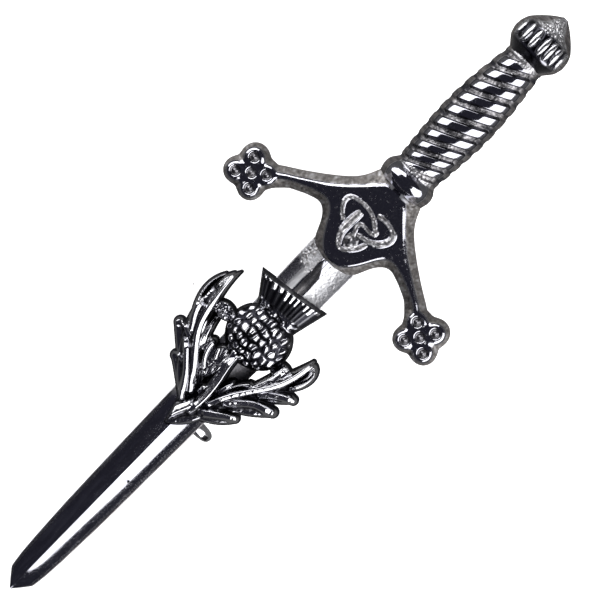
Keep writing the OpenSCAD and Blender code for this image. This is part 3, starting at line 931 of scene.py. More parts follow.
@dataclass
class Hilt:
    """Collar, spirally ridged grip and petalled pommel."""

    collar_top: float = 72.4
    collar_s: float = 71.05
    grip_top: float = 91.9
    crests: tuple = (71.5, 73.3, 74.9, 76.6, 78.45, 80.5, 82.65, 84.75, 86.87, 88.95, 91.05, 93.15)
    slope_deg: float = 23.5
    depth: float = 0.45
    rise: float = 0.75
    wall_w: float = 0.66
    foot: float = 0.7
    bands: tuple = (72.1, 72.5, 73.5, 73.0, 91.0, 91.3)
    petals: tuple = (-3.15, -2.1, -0.95, 0.45, 1.4, 2.3, 3.1)
    petal_s: float = 95.0
    petal_half_l: float = 1.4
    petal_half_w: float = 0.43
    petal_rise: float = 0.34
    cone_s: tuple = (96.2, 96.8)
    faces: int = 110
    walls: int = 7

    def section(self, w: Array, wall_w: Array, high: Array, side: Array) -> tuple:
        """Half-round sections with a sloping cast wall on each side.

        The face is an arc of a circle whose middle height is high and whose ends have height side,
        at wall_w inside the edge. From there the wall falls to an upright foot.

        Args:
            w: half width of each row.
            wall_w: width of its walls.
            high: height of its middle.
            side: height of the face's edges.

        Returns:
            x and h of each point of each row, the share of the face, which is 0 on the walls, and
            the normal's x and h on the face.
        """
        k = np.linspace(-1, 1, self.faces)[None, :]
        wf = w - wall_w
        sag = high - side
        radius = (wf ** 2 + sag ** 2) / (2 * sag)
        reach = np.arcsin(np.clip(wf / radius, 0, 1))
        angle = np.where(sag > wf, math.pi - reach, reach) * k
        nx, nh = np.sin(angle), np.cos(angle)
        x, h = radius * nx, high - radius + radius * nh
        t = np.linspace(0, 1, self.walls)[None, 1:]
        wx = wf + (w - wf) * t ** 0.85
        wh = side + (self.foot - side) * t
        none = np.zeros_like(w)
        x = np.concatenate([-w, -wx[:, ::-1], x, wx, w], axis=1)
        h = np.concatenate([none, wh[:, ::-1], h, wh, none], axis=1)
        pad = np.zeros((len(w), self.walls))
        share = np.concatenate([pad, np.ones_like(nx), pad], axis=1)
        nx = np.concatenate([pad - 0.9, nx, pad + 0.9], axis=1)
        nh = np.concatenate([pad + 0.3, nh, pad + 0.3], axis=1)
        return x, h, share, nx, nh

    def grip(self) -> bpy.types.Object:
        """Collar and grip in one loft.

        The count of the ridges, turn, is read at s - x tan(slope) from the places of the crests at
        x = 0. A place sinks by depth times a soft step of |sin(pi turn)| and a part of its cube, so
        each ridge has a broad round crown and each groove a narrow rough floor.

        Returns:
            The collar and grip.
        """
        s = np.linspace(69.5, 92.6, 420)[:, None]
        w = column(GRIP, s, 1, 0.22)
        collar = ramp(self.collar_top + 0.25, self.collar_top - 0.25, s)
        high = w + self.rise + collar * (0.15 - 0.42 * ((s - self.collar_s) / 1.1) ** 2)
        side = high - 1.75 + 0.1 * collar
        x, h, share, nx, nh = self.section(w, self.wall_w + 0.2 * collar, high, side)
        lean = s - x * math.tan(math.radians(self.slope_deg))
        turn = np.interp(lean, self.crests, np.arange(len(self.crests)))
        wave = np.abs(np.sin(math.pi * turn))
        ridged = ramp(self.collar_top - 0.1, self.collar_top + 0.5, s)
        ridged = ridged * ramp(self.grip_top, self.grip_top - 0.5, s)
        sink = self.depth * (ramp(0.66, 0.97, wave) * 0.78 + 0.22 * wave ** 3) * ridged
        above_foot = np.ones_like(x)
        above_foot[:, [0, -1]] = 0
        x = x - nx * sink * (0.3 + 0.7 * share)
        h = h - nh * sink * above_foot * share

        grain = np.random.default_rng(11)
        rough = soften(grain.normal(size=x.shape), 1.1) * 0.09
        noise = lumps(grain, x.shape, 2.2, 2.2)
        low_in, low_on, low_end, low_off, top_in, top_on = self.bands
        band = ramp(low_in, low_on, s) * ramp(low_end, low_off, s - 0.3 * x) + ramp(top_in, top_on, s)
        low = ramp(0.86, 0.97, wave) * ridged
        coarse = np.clip(np.maximum(low, band), 0, 1) * share
        h = h + rough * (coarse + 0.6 * (1 - share) * above_foot)
        # Painted shade darkens the grooves, most towards the sides, the ridges' flanks beside them and the
        # face near its edges.
        tone = (0.45 * ramp(3.3, 1.0, np.abs(x)) - 0.8) * low * share + 0.4 * np.clip(band, 0, 1) * share
        painted_flank_shade = ramp(0.62, 0.72, wave) * ramp(0.93, 0.86, wave) * ridged
        edge = ramp(0.74, 0.84, np.abs(x) / w) * share
        tone = tone - 0.8 * painted_flank_shade * share - 0.7 * edge
        tone = tone - (1 - share) * (0.65 + 0.25 * ramp(0.7, 0.95, wave) * ridged)
        tone = tone + noise * (0.3 * coarse + 0.12 * (1 - share))
        return loft_object("collar_and_grip", to_row(x, s, h), skin_marks(share * (1 - 0.6 * coarse), tone))

    def pommel(self) -> bpy.types.Object:
        """Pommel, with upright lens-shaped petals round its widest part and a rough cone on top.

        A petal rises by the root of 1 - (distance from its middle / its half width) squared. Its half
        width follows the root of 1 - (distance from petal_s / petal_half_l) to the power 2.4, and the
        outer petals are narrower.

        Returns:
            The pommel.
        """
        s = np.linspace(91.9, SWORD_LEN, 190)[:, None]
        w = column(POMMEL, s, 1, 0.16)
        high = column(POMMEL, s, 2, 0.16)
        wall_w = np.minimum(0.55 + 0.75 * ramp(96, 98, s), 0.45 * w)
        x, h, share, nx, nh = self.section(w, wall_w, high, np.maximum(high * 0.52, 0.75))
        lens = np.zeros_like(x)
        edge = np.zeros_like(x)
        length = np.clip(1 - np.abs((s - self.petal_s) / self.petal_half_l) ** 2.4, 0, 1)
        for middle in self.petals:
            half = self.petal_half_w * (1 - 0.3 * (abs(middle) / 3.3) ** 2) * np.sqrt(length) + 1e-4
            gap = np.abs(x - middle) / half
            lens = np.maximum(lens, np.clip(1 - gap ** 2, 0, 1) * (half > 0.05))
            edge = np.maximum(edge, bell(gap - 1.1, 0.25) * (half > 0.1))
        lift = (self.petal_rise * np.sqrt(lens) - 0.1 * edge) * share
        x, h = x + nx * lift, h + nh * lift

        noise = lumps(np.random.default_rng(12), x.shape, 1.2, 1.2)
        cone = ramp(*self.cone_s, s) * share
        above_foot = np.ones_like(x)
        above_foot[:, [0, -1]] = 0
        h = h + 0.045 * noise * np.maximum(cone, 0.5 * (1 - share)) * above_foot
        petal = ramp(0.05, 0.5, lens) * share
        gaps = ramp(93.4, 93.8, s) * ramp(96.5, 96.2, s) * (1 - ramp(0.05, 0.4, lens)) * share
        # Painted highlight lightens the petals; painted shade darkens the gaps between them and the
        # shoulder below them.
        tone = (0.7 + 0.15 * noise) * petal - gaps - 0.95 * ramp(93.6, 93.2, s) * share
        tone = tone + cone * (0.4 * noise + 0.5) + (1 - share) * (0.12 * noise - 0.55)
        polish = share * (1 - 0.55 * cone) - 0.3 * petal
        return loft_object("pommel", to_row(x, s, h), skin_marks(polish, tone))


@dataclass
class Lug:
    """The block on the back that holds the pin's root."""

    s: float = 67.4
    half_w: float = 3.2
    half_l: float = 2.2
    corner: float = 0.55

    def build(self) -> bpy.types.Object:
        """Lofts rounded rectangles from the foot up into the casting, with a rounded lower edge.

        A section is a superellipse-like rectangle: its corners are quarter circles of radius corner.

        Returns:
            The lug.
        """
        a = np.linspace(0, 2 * math.pi, 72, endpoint=False)[None, :]
        h = np.array([-BACK_Z, -BACK_Z, -BACK_Z + 0.06, -BACK_Z + 0.18, -BACK_Z + 0.35, -3.5, 0.6])[:, None]
        inset = np.array([1.2, 0.3, 0.12, 0.03, 0, 0, 0])[:, None]
        cx = np.sign(np.cos(a)) * (self.half_w - self.corner)
        cs = np.sign(np.sin(a)) * (self.half_l - self.corner)
        radius = self.corner - np.minimum(inset, self.corner - 0.1)
        more = np.maximum(inset - self.corner + 0.1, 0)
        x = cx * (1 - more / self.half_w) + radius * np.cos(a)
        s = self.s + cs * (1 - more / self.half_l) + radius * np.sin(a)
        return loft_object("lug", to_row(x, s, h), skin_marks(np.full(x.shape, 0.25), np.zeros(x.shape)))


@dataclass
class Sword:
    """The sword's casting: blade, guard, hilt and lug."""

    skin: CastSkin
    blade: Blade = field(default_factory=Blade)
    guard: Guard = field(default_factory=Guard)
    hilt: Hilt = field(default_factory=Hilt)
    lug: Lug = field(default_factory=Lug)

    def build(self, groups: SkinGroups) -> list[bpy.types.Object]:
        """Builds the pieces, dresses them and puts the first in the CAD sword's place.

        Args:
            groups: the shared shader groups.

        Returns:
            The pieces.
        """
        hilt = [self.hilt.grip(), self.hilt.pommel()]
        pieces = [self.blade.build(), self.guard.build(), *hilt, self.lug.build()]
        made = self.skin.material(groups)
        for piece in pieces:
            dress(piece, made, Finish.SWORD)
        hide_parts("sword")
        return pieces


def dress(piece: bpy.types.Object, made: bpy.types.Material, finish: Finish) -> None:
    """Gives a piece its material and the body that it rides on."""
    piece.data.materials.clear()
    piece.data.materials.append(made)
    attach(piece, "root")


# Leaves' lobes: root, bend and end of the middle line, half widths there, height over the back
LEAVES = (
    (-0.8, 32, -9.1, 40.6, -6.9, 48.5, 0.7, 1.6, 0.25, 3.6),
    (-4.8, 37.6, -10.35, 42.8, -8.1, 47, 0.5, 0.55, 0.35, 3.1),
    (-2, 33.6, -5, 37, -8, 38.65, 0.8, 1.3, 0.9, 3.2),
    (-0.9, 31.9, -3.2, 34.9, -5.5, 35.35, 0.6, 1.2, 0.85, 3.1),
    (-0.9, 33.2, -4.75, 38.6, -5.2, 42.8, 0.6, 0.7, 0.55, 3),
    (-0.6, 34.4, -3.0, 37.4, -3.35, 39.95, 0.5, 1.1, 0.75, 3),
    (-2.6, 37, -3.9, 38.2, -4.1, 39.85, 0.7, 0.85, 0.6, 3),
    (-7.3, 43, -8.35, 45.4, -7.35, 47.7, 0.9, 0.75, 0.45, 3.1),
    (6.6, 43, 8.15, 44.8, 7.8, 46.2, 0.9, 0.9, 0.75, 3.1),
    (1.4, 33.2, 6.75, 40.35, 7.35, 46.75, 0.8, 1.3, 0.38, 3.6),
    (5.6, 40.4, 9.7, 44.1, 8.3, 46.3, 0.5, 0.65, 0.4, 3.1),
    (4.6, 38.6, 6.9, 41.1, 8.8, 41.5, 0.8, 1.35, 0.78, 3.2),
    (2.2, 34.8, 5.9, 37.8, 8.05, 38.65, 0.8, 1.4, 0.85, 3.2),
    (1, 31.9, 3.4, 33.3, 5.2, 34.8, 0.8, 1.15, 0.78, 3.1),
    (2.2, 35.6, 4.65, 39.45, 5.3, 43.7, 0.5, 0.55, 0.5, 3),
    (1.9, 34.5, 2.8, 37.4, 3.8, 38.95, 0.6, 1.1, 0.95, 3),
    (1.3, 34.2, 1.7, 36.4, 1.95, 38.1, 0.5, 0.75, 0.5, 2.9),
    (0.3, 33.2, 0.3, 30.9, -0.65, 28.65, 2.6, 1.75, 0.3, 3.3),
)
# Ribs on the leaves and the stem: half width, height over the back, then the points of the crest
RIBS = (
    (0.44, 4.1, ((-1.2, 33.7), (-2.1, 35), (-2.9, 36.1), (-3.7, 37.1), (-4.6, 38.1), (-5.5, 39.3),
        (-6.15, 40.6), (-6.55, 42), (-6.8, 43.6), (-6.95, 45.4), (-7.05, 47), (-7.15, 48.1))),
    (0.38, 4.1, ((-1.4, 32.3), (-2, 33.3), (-2.65, 34.3), (-3.3, 35.2), (-4.25, 36.2), (-5, 37),
        (-5.8, 37.7))),
    (0.62, 3.75, ((-5.9, 38.7), (-6.5, 39.6), (-7.1, 40.5), (-7.6, 41.5), (-7.95, 42.7))),
    (0.24, 3.8, ((-7.65, 45.3), (-7.65, 46.3), (-7.5, 47.4))),
    (0.3, 3.6, ((-3.9, 38.2), (-4.5, 39), (-5, 39.9), (-5.35, 40.9), (-5.75, 42.2))),
    (0.24, 3.35, ((-3.9, 38.7), (-4.35, 39.6), (-4.65, 40.5), (-4.85, 41.6))),
    (0.28, 3.45, ((-1.5, 36.5), (-2.3, 37.2), (-2.9, 38.1), (-3.2, 39), (-3.3, 40.3))),
    (0.22, 3.3, ((-1.5, 38.3), (-1.9, 39.1), (-2.2, 39.9), (-2.6, 40.6))),
    (0.22, 3.3, ((-4.6, 37.3), (-6.2, 38.5), (-7.9, 39.2))),
    (0.2, 3.2, ((-3.4, 35.3), (-4.6, 35.7), (-5.6, 35.8))),
    (0.35, 4.05, ((1.7, 34), (2.3, 35.7), (3.2, 37.3), (4.3, 38.9), (5.3, 40.3), (6.15, 41.6),
        (6.8, 43.1), (7.15, 44.6), (7.35, 45.8), (7.4, 46.9))),
    (0.4, 3.6, ((7.7, 42.6), (8.25, 43.6), (8.45, 45), (8.2, 46.2))),
    (0.3, 3.8, ((1.5, 36), (1.85, 37.4), (2.4, 38.4), (3, 39.05), (3.8, 39.35), (4.4, 40.1),
        (4.8, 41.2), (5.1, 42.5), (5.35, 43.8))),
    (0.24, 3.5, ((4.95, 41), (5.4, 42.4), (5.7, 43.8))),
    (0.46, 3.6, ((2.7, 35.1), (4.3, 36.9), (5.8, 38.1), (7.9, 38.7))),
    (0.42, 3.5, ((4.9, 38.9), (6.5, 40.3), (8, 41.3), (8.9, 41.6))),
    (0.5, 3.6, ((1.6, 32.6), (3, 33.6), (4.4, 34.7), (5.2, 35.1))),
    (0.42, 4.2, ((0, 40.6), (0.15, 39.2), (0.5, 37.4), (0.7, 35.6), (0.75, 34), (0.65, 32.6),
        (0.4, 31.8))),
    (0.28, 3.85, ((-0.65, 40.2), (-0.55, 38.8), (-0.3, 37.2), (-0.2, 35.8), (-0.25, 34.4))),
    (0.55, 3.95, ((0.2, 32.9), (-0.3, 31.7), (-0.8, 30.6), (-1.1, 29.6))),
)
# Rough places of the leaves, lightened as painted highlights: half width, then the points of the middle
# line
ROUGH_HIGHLIGHTS = (
    (0.75, ((2.1, 35.6), (3.2, 37.9), (4.5, 40.3), (5.5, 42))),
    (0.4, ((1.5, 35.4), (1.8, 36.8), (2.0, 38))),
    (0.4, ((-8.35, 43), (-8.2, 45), (-7.8, 46.8))),
    (0.4, ((6.2, 40.1), (7.2, 41), (8.3, 41.7))),
    (0.4, ((3.3, 36), (4.4, 37.1), (5.6, 38))),
    (0.45, ((-6, 42.9), (-5.5, 41.6), (-4.9, 40.3))),
    (0.4, ((-8.2, 38.5), (-7.8, 39), (-7.4, 39.3))),
    (0.35, ((-5.7, 35.5), (-4.9, 35.5), (-4, 35.2))),
)
# Stem: x, s, half width, height over the back
STEM = ((-0.2, 40.8, 0.85, 3.6), (0, 38.6, 0.85, 3.6), (0.5, 36.4, 0.9, 3.6), (0.6, 34.2, 0.95, 3.5),
        (0.4, 32.2, 0.8, 3.4), (-0.3, 30.6, 0.6, 3.2), (-0.6, 29.4, 0.35, 2.9))


@dataclass
class Thistle:
    """The thistle casting: leaves, stem, seed head and flower tuft, with a channel for the blade."""

    skin: CastSkin
    seat_gap: float = 0.06
    head_c: tuple = (0.3, 44.2)
    head_half: tuple = (4.45, 4.1)
    head_t: float = 4.75
    rows: int = 7
    across: float = 9.4
    pitch: float = 0.98
    jitter: float = 0.33
    squareness: float = 3.4
    bulge: float = 0.6
    rim: tuple = ((-5.45, 50.75), (4.4, 52.15))
    neck: tuple = ((-2.95, 47.3), (3.25, 47.5))
    rim_t: float = 4.7
    neck_t: float = 3.3
    ridges: int = 12
    bead_share: float = 0.58
    bead_len: tuple = (0.08, 0.34)
    # Thin webs: middle, half widths along x and s, height over the back
    webs: tuple = ((-5.0, 43.7, 1.75, 1.25, 2.9), (5.25, 43.1, 1.6, 1.3, 2.8), (5.7, 42.0, 1.2, 1.8, 3.0),
                   (-1.6, 38.3, 1.5, 2.7, 2.6))
    # Webs' lit parts: the same, and the slope towards +x
    shelves: tuple = ((5.9, 42.6, 1.2, 2.0, 3.3, 0.5), (-1.6, 38.3, 1.4, 2.6, 2.65, 0.45),
                      (-3.95, 39.2, 0.7, 1.3, 2.8, 0.45))
    streaked_at: tuple = (-5.0, 40.2, 0.8, 1.9)
    knob_at: tuple = (-5.2, 43.6)
    knob_r: float = 1.2
    # Noises: random seed, size in mm and, for lines, their length in mm
    tuft_knobs: tuple = (24, 0.17)
    hammered: tuple = ((31, 0.28), (32, 0.11))
    web_lines: tuple = (35, 0.08, 0.5)
    rough_sand: tuple = (37, 0.11)
    web_streaks: tuple = (33, 0.1, 0.6)
    knob_stains: tuple = (34, 0.12)
    # Noise of the painted highlights on the rough places.
    rough_highlight_specks: tuple = (38, 0.1)

    def lobe(self, g: Relief, row: tuple) -> tuple[Array, Array]:
        """One lobe of a leaf.

        Its middle line is a quadratic Bezier curve, and so are its half width and, with a fall
        towards the end, its height. Its top is a shallow crown.

        Args:
            g: the grid.
            row: a row of LEAVES.

        Returns:
            The distance to its outline, positive inside, and its height.
        """
        u = np.linspace(0, 1, 40)[:, None]
        a, b, c = (np.array(row[k:k + 2]) for k in (0, 2, 4))
        path = a * (1 - u) ** 2 + b * 2 * u * (1 - u) + c * u ** 2
        share, gap, _ = along(path, g.x, g.s)
        wide = 2 * row[7] - (row[6] + row[8]) / 2
        w = row[6] * (1 - share) ** 2 + wide * 2 * share * (1 - share) + row[8] * share ** 2
        level = w - gap
        crown = 1 - 0.12 * np.clip(gap / w, 0, 1.5) ** 2
        return level, row[9] * 0.84 * (1 - 0.18 * share ** 4) * crown

    def tuft(self, g: Relief) -> tuple[Array, Array, Array]:
        """The flower tuft, as a fan from the neck at v = 0 to the rim at v = 1.

        u runs from the left edge to the right one. The top is an arch across u that rises with v,
        with low ridges cos(2 pi n u) and small knobs at the neck. Each ridge ends in a bead below the
        rim. The beads slope down to the right, and their lengths are drawn at random.

        Args:
            g: the grid.

        Returns:
            The distance to its outline, its height, and how far a place is in a groove, with less
            than 0 on the beads. The tone turns this into painted shade on the fan and painted highlights on
            the beads.
        """
        nl, nr = (np.array(p)[:, None, None] for p in self.neck)
        rl, rr = (np.array(p)[:, None, None] for p in self.rim)
        p = np.stack([g.x, g.s])
        v = np.full(g.x.shape, 0.5)
        for _ in range(4):
            left, right = nl + (rl - nl) * v, nr + (rr - nr) * v
            d = right - left
            length = np.hypot(d[0], d[1])
            n = np.stack([-d[1], d[0]]) / length
            climb = ((rl - nl + rr - nr) / 2 * n).sum(axis=0)
            v = v + ((p - left) * n).sum(axis=0) / climb
        u = ((p - left) * d).sum(axis=0) / length ** 2
        level = np.minimum.reduce([u * length, (1 - u) * length, (1 - v) * climb, (v + 0.25) * climb])
        v1, u1 = np.clip(v, -0.2, 1), np.clip(u, 0, 1)
        arch = np.sqrt(np.clip(1 - 0.9 * np.abs(2 * u1 - 1) ** 3.4, 0, 1))
        top = 1.2 + (self.neck_t + (self.rim_t - self.neck_t) * v1 - 1.2) * arch
        turn = self.ridges * u + 0.3 * np.sin(9 * u)
        wave = np.cos(2 * math.pi * turn)
        neck = ramp(0.3, 0.2, v)
        knobs = g.noise(*self.tuft_knobs)
        low = 0.08 * wave * (0.35 + 0.65 * v1) * (1.1 - 0.8 * u1)
        top = top + low * (1 - neck) + 0.09 * knobs * neck
        part = turn - np.floor(turn)
        sizes = np.random.default_rng(22).uniform(*self.bead_len, size=64)
        size = sizes[np.floor(turn).astype(int) % 64]
        zone = ramp(0.955, 0.935, v) * ramp(0.935 - size, 0.965 - size, v)
        facet = np.clip(1 - part / self.bead_share, 0, 1) * ramp(0, 0.06, part)
        facet = facet * (0.55 + 0.45 * ramp(0.72, 0.86, v))
        top = top + (0.5 - 0.5 * u1) * facet * zone - 0.3 * ramp(0.93, 1.0, v)
        furrow = 0.85 + 0.45 * ramp(0.9, 0.2, wave)
        furrow = furrow * (1 - neck) + neck * (0.1 - 0.9 * knobs)
        on_bead = (zone > 0.3) & (part < self.bead_share)
        return level, top, np.where(on_bead, -1.3, furrow)

    def head(self, g: Relief) -> tuple[Array, Array, Array]:
        """The seed head: an ellipsoid with rows of staggered scales.

        The head's height is foot + (top - foot) root(1 - u^2 - v^2). A scale is the part of the dome
        that is nearest to its own middle, which is moved at random from an even row. The distance to
        a middle is (|dc|^q + |dr|^q)^(1 / q), with squareness q. Each scale is raised and turned to a
        slope of its own: down to the right, or down to the left for many of those on the left.

        Args:
            g: the grid.

        Returns:
            The distance to its outline, its height, and the tone: painted highlight of random strength on
            the scales, painted shade in their gaps.
        """
        foot = 1.6
        u = (g.x - self.head_c[0]) / self.head_half[0]
        v = (g.s - self.head_c[1]) / self.head_half[1]
        rho = np.sqrt(u * u + v * v)
        level = (1 - rho) * 4.2
        dome = foot + (self.head_t - foot) * np.sqrt(np.clip(1 - rho ** 2, 0, 1))
        swirl = v + 0.05 * u * u + 0.03 * np.sin(4 * u)
        spread = math.asin(self.bulge)
        r = (np.arcsin(np.clip(self.bulge * swirl, -0.99, 0.99)) / spread + 1) / 2 * self.rows
        c = np.arcsin(np.clip(self.bulge * u, -0.99, 0.99)) / spread * self.across / 2 + 20
        table = np.random.default_rng(21).uniform(-1, 1, size=(6, 64, 64))
        first = second = np.full(g.x.shape, -FAR)
        offset = np.zeros((2, *g.x.shape))
        pick = np.zeros((6, *g.x.shape))
        for k in range(9):
            i = np.floor(r).astype(int) + k // 3 - 1
            stagger = np.where(i % 2 == 0, 0.25, -0.25)
            j = np.floor(c + stagger).astype(int) + k % 3 - 1
            own = table[:, np.clip(i + 20, 0, 63), np.clip(j, 0, 63)]
            dc = c - (j + 0.5 - stagger + self.jitter * own[0])
            dr = r - (i + 0.5 + self.jitter * own[1])
            q = self.squareness
            gap = (np.abs(dc) ** q + np.abs(dr) ** q) ** (1 / q)
            near = gap < first
            second = np.where(near, first, np.minimum(second, gap))
            first = np.where(near, gap, first)
            offset = np.where(near, np.stack([dc, dr]), offset)
            pick = np.where(near, own, pick)
        body = ramp(0.14, 0.46, second - first)
        turned = pick[2] < np.where(u < -0.15, 0.3, -0.8)
        want_x = np.where(turned, 0.52, -0.45) * (1 + 0.5 * pick[4])
        want_s = np.where(turned, -0.15, 0.0) + 0.18 * pick[3]
        across, up = np.gradient(dome, g.cell)
        slope_x = np.clip(want_x - across, -0.85, 0.85)
        slope_s = np.clip(want_s - up, -0.5, 0.5)
        tilt = self.pitch * (slope_x * offset[0] + slope_s * offset[1])
        lump = body * (0.3 + tilt + 0.06 * pick[5] - 0.08 * (first / 0.5) ** 2)
        fade = ramp(0.0, 0.25, level)
        # Painted shade darkens the gaps between the scales; the scales get a painted highlight of random
        # strength.
        shade = body * (0.5 + 0.6 * pick[5]) - 1.2 * (1 - body)
        return level, dome + lump * fade, shade * fade

    def plant(self, g: Relief, base: Array) -> tuple[Array, Array, dict[str, Array]]:
        """Leaves, stem, webs and ribs, laid over one another.

        A rib is a lopsided roof along its path: its crest lies to the left of the way that the path
        goes, and the broad gentle side to the right.

        Args:
            g: the grid.
            base: the least height of a form.

        Returns:
            The distance to the outline, the height, and how far a place is on a rib ("crest"), on a
            web's lit part ("web") and on a rough place ("rough").
        """
        level = np.full(g.x.shape, FAR)
        top = np.zeros_like(level)
        coarse, fine = (g.noise(*row) for row in self.hammered)
        lumpy = coarse * 0.035 + fine * 0.02

        def lay(edge: Array, height: Array, run: float) -> None:
            """Lays a form over the others: its wall rises over run mm from the outline."""
            nonlocal level, top
            own = base + np.maximum(height - base, 0.1) * np.clip(edge / run, 0, 1) ** 0.7
            top = np.maximum(top, np.where(edge > 0, own, 0))
            level = np.maximum(level, edge)

        for row in LEAVES:
            edge, height = self.lobe(g, row)
            lay(edge, height + 0.6 * lumpy, 0.42)
        share, gap, _ = along(smooth_path([row[:2] for row in STEM], 40), g.x, g.s)
        rows = np.array(STEM)
        at = np.linspace(0, 1, len(rows))
        w, high = np.interp(share, at, rows[:, 2]), np.interp(share, at, rows[:, 3])
        lay(w - gap, high - 0.3 * (gap / w) ** 2, 0.3)
        for x, s, a, b, high in self.webs:
            lay((1 - g.away(x, s, a, b)) * min(a, b), high + 4 * lumpy, 0.25)

        ribs = np.full(level.shape, FAR)
        for half, high, points in RIBS:
            share, gap, side = along(smooth_path(list(points)), g.x, g.s)
            ends = ramp(0, 0.14, share) * ramp(1, 0.88, share)
            r = gap / half
            t = side / half - 0.45
            drop = half * (0.35 * t + 0.8 * (np.sqrt(t ** 2 + 0.01) - 0.1) + 0.3 * r ** 4)
            own = high - 0.45 * (1 - ends) - drop + 0.08 * lumpy
            ribs = np.maximum(ribs, np.where(r < 1.7, own, FAR))
        lines = 0.05 * g.noise(*self.web_lines)
        web = np.zeros_like(top)
        for x, s, a, b, high, slope in self.shelves:
            shelf = ramp(1.05, 0.75, g.away(x, s, a, b)) * (level > 0)
            top = top + shelf * (high + slope * (g.x - x) + lines - top)
            web = np.maximum(web, shelf)
        inside = ramp(0.0, 0.45, level)
        ribs = base + (ribs - base) * inside
        crest = ramp(-0.02, 0.22, ribs - top)
        top = np.where(level > 0, melt(top, ribs, 0.05), top)
        rough = np.zeros_like(top)
        for half, points in ROUGH_HIGHLIGHTS:
            _, gap, _ = along(smooth_path(list(points)), g.x, g.s)
            rough = np.maximum(rough, ramp(half + 0.1, half - 0.2, gap))
        rough = rough * inside * (1 - 0.7 * crest)
        top = top + 0.055 * g.noise(*self.rough_sand) * rough
        return level, top, {"crest": crest, "web": web, "rough": rough}

    def leaf_tone(self, g: Relief, top: Array, on: dict[str, Array]) -> Array:
        """Tone of the leaves and the stem: black in the hollows, painted highlights on the ribs and rough
        places, painted light on the streaked webs.

        Args:
            g: the grid.
            top: the height.
            on: the shares that plant gives.

        Returns:
            The tone.
        """
        hollow = np.clip((top - g.soft(top, 0.32)) / 0.1, -1, 0.6)
        wide = np.clip((top - g.soft(top, 0.8)) / 0.3, -1, 0.3)
        streaks = ramp(-0.6, 1.0, g.noise(*self.web_streaks))
        web = np.maximum(on["web"], 0.7 * ramp(1.1, 0.7, g.away(*self.streaked_at)))
        knob = ramp(1.1, 0.8, g.away(*self.knob_at) / self.knob_r)
        tone = (hollow * 0.55 + wide * 0.35 - 0.3) * (1 - web) * (1 - 0.7 * knob)
        # Painted light lightens the webs, and painted highlights the ribs and, below, the rough places.
        tone = tone + web * (0.3 + 0.7 * streaks) + 0.6 * on["crest"]
        tone = tone + knob * (0.2 + 0.7 * g.noise(*self.knob_stains))
        return tone + on["rough"] * (0.45 + 0.7 * g.noise(*self.rough_highlight_specks))

    def build(self, groups: SkinGroups) -> list[bpy.types.Object]:
        """Lays all forms over one another on a grid and builds the casting.

        Args:
            groups: the shared shader groups.

        Returns:
            The casting, in the CAD thistle's place.
        """
        g = Relief(-10.2, 10.2, 28.0, 52.9, 0.08)
        over_blade = np.abs(g.x) < blade_half_width(g.s) + self.seat_gap
        bottom = np.where(over_blade, blade_top(g.x, g.s) + self.seat_gap, 0.0)
        base = bottom + 0.3
        level, top, on = self.plant(g, base)

        head_level, head_top, shade = self.head(g)
        own = base + (head_top - base) * np.clip(head_level / 0.18, 0, 1) ** 0.6
        on_head = (head_level > 0) & (g.s < 48.4) & (own > top)
        top = np.where(on_head, own, top)

        tuft_level, tuft_top, furrow = self.tuft(g)
        own = base + (tuft_top - base) * np.clip(tuft_level / 0.22, 0, 1) ** 0.7
        on_tuft = (tuft_level > 0) & ((own > top) | (g.s > 48.6))
        top = np.where(on_tuft, own, top)
        both = np.maximum(head_level, tuft_level)
        level = np.maximum(level, both)

        top = np.maximum(g.soft(top, 0.05), bottom + 0.2)
        tone = np.where(on_head, shade, self.leaf_tone(g, top, on))
        # Painted shade darkens the tuft, most in its grooves, and painted highlights lighten its beads.
        tone = np.where(on_tuft, -0.75 * furrow, tone)
        polish = np.where(on_head | on_tuft, ramp(0.03, 0.2, both), ramp(0.12, 0.42, level))
        polish = polish * (1 - 0.25 * ramp(-0.1, -0.8, tone))
        rim = ramp(0.05, 0.4, level)
        tone = np.where(level < 0.4, tone * rim - 1.1 * ramp(0.4, 0.1, level), tone)
        piece = g.build("thistle_casting", level, top, bottom, skin_marks(polish, tone))
        dress(piece, self.skin.material(groups), Finish.THISTLE)
        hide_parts("thistle")
        return [piece]


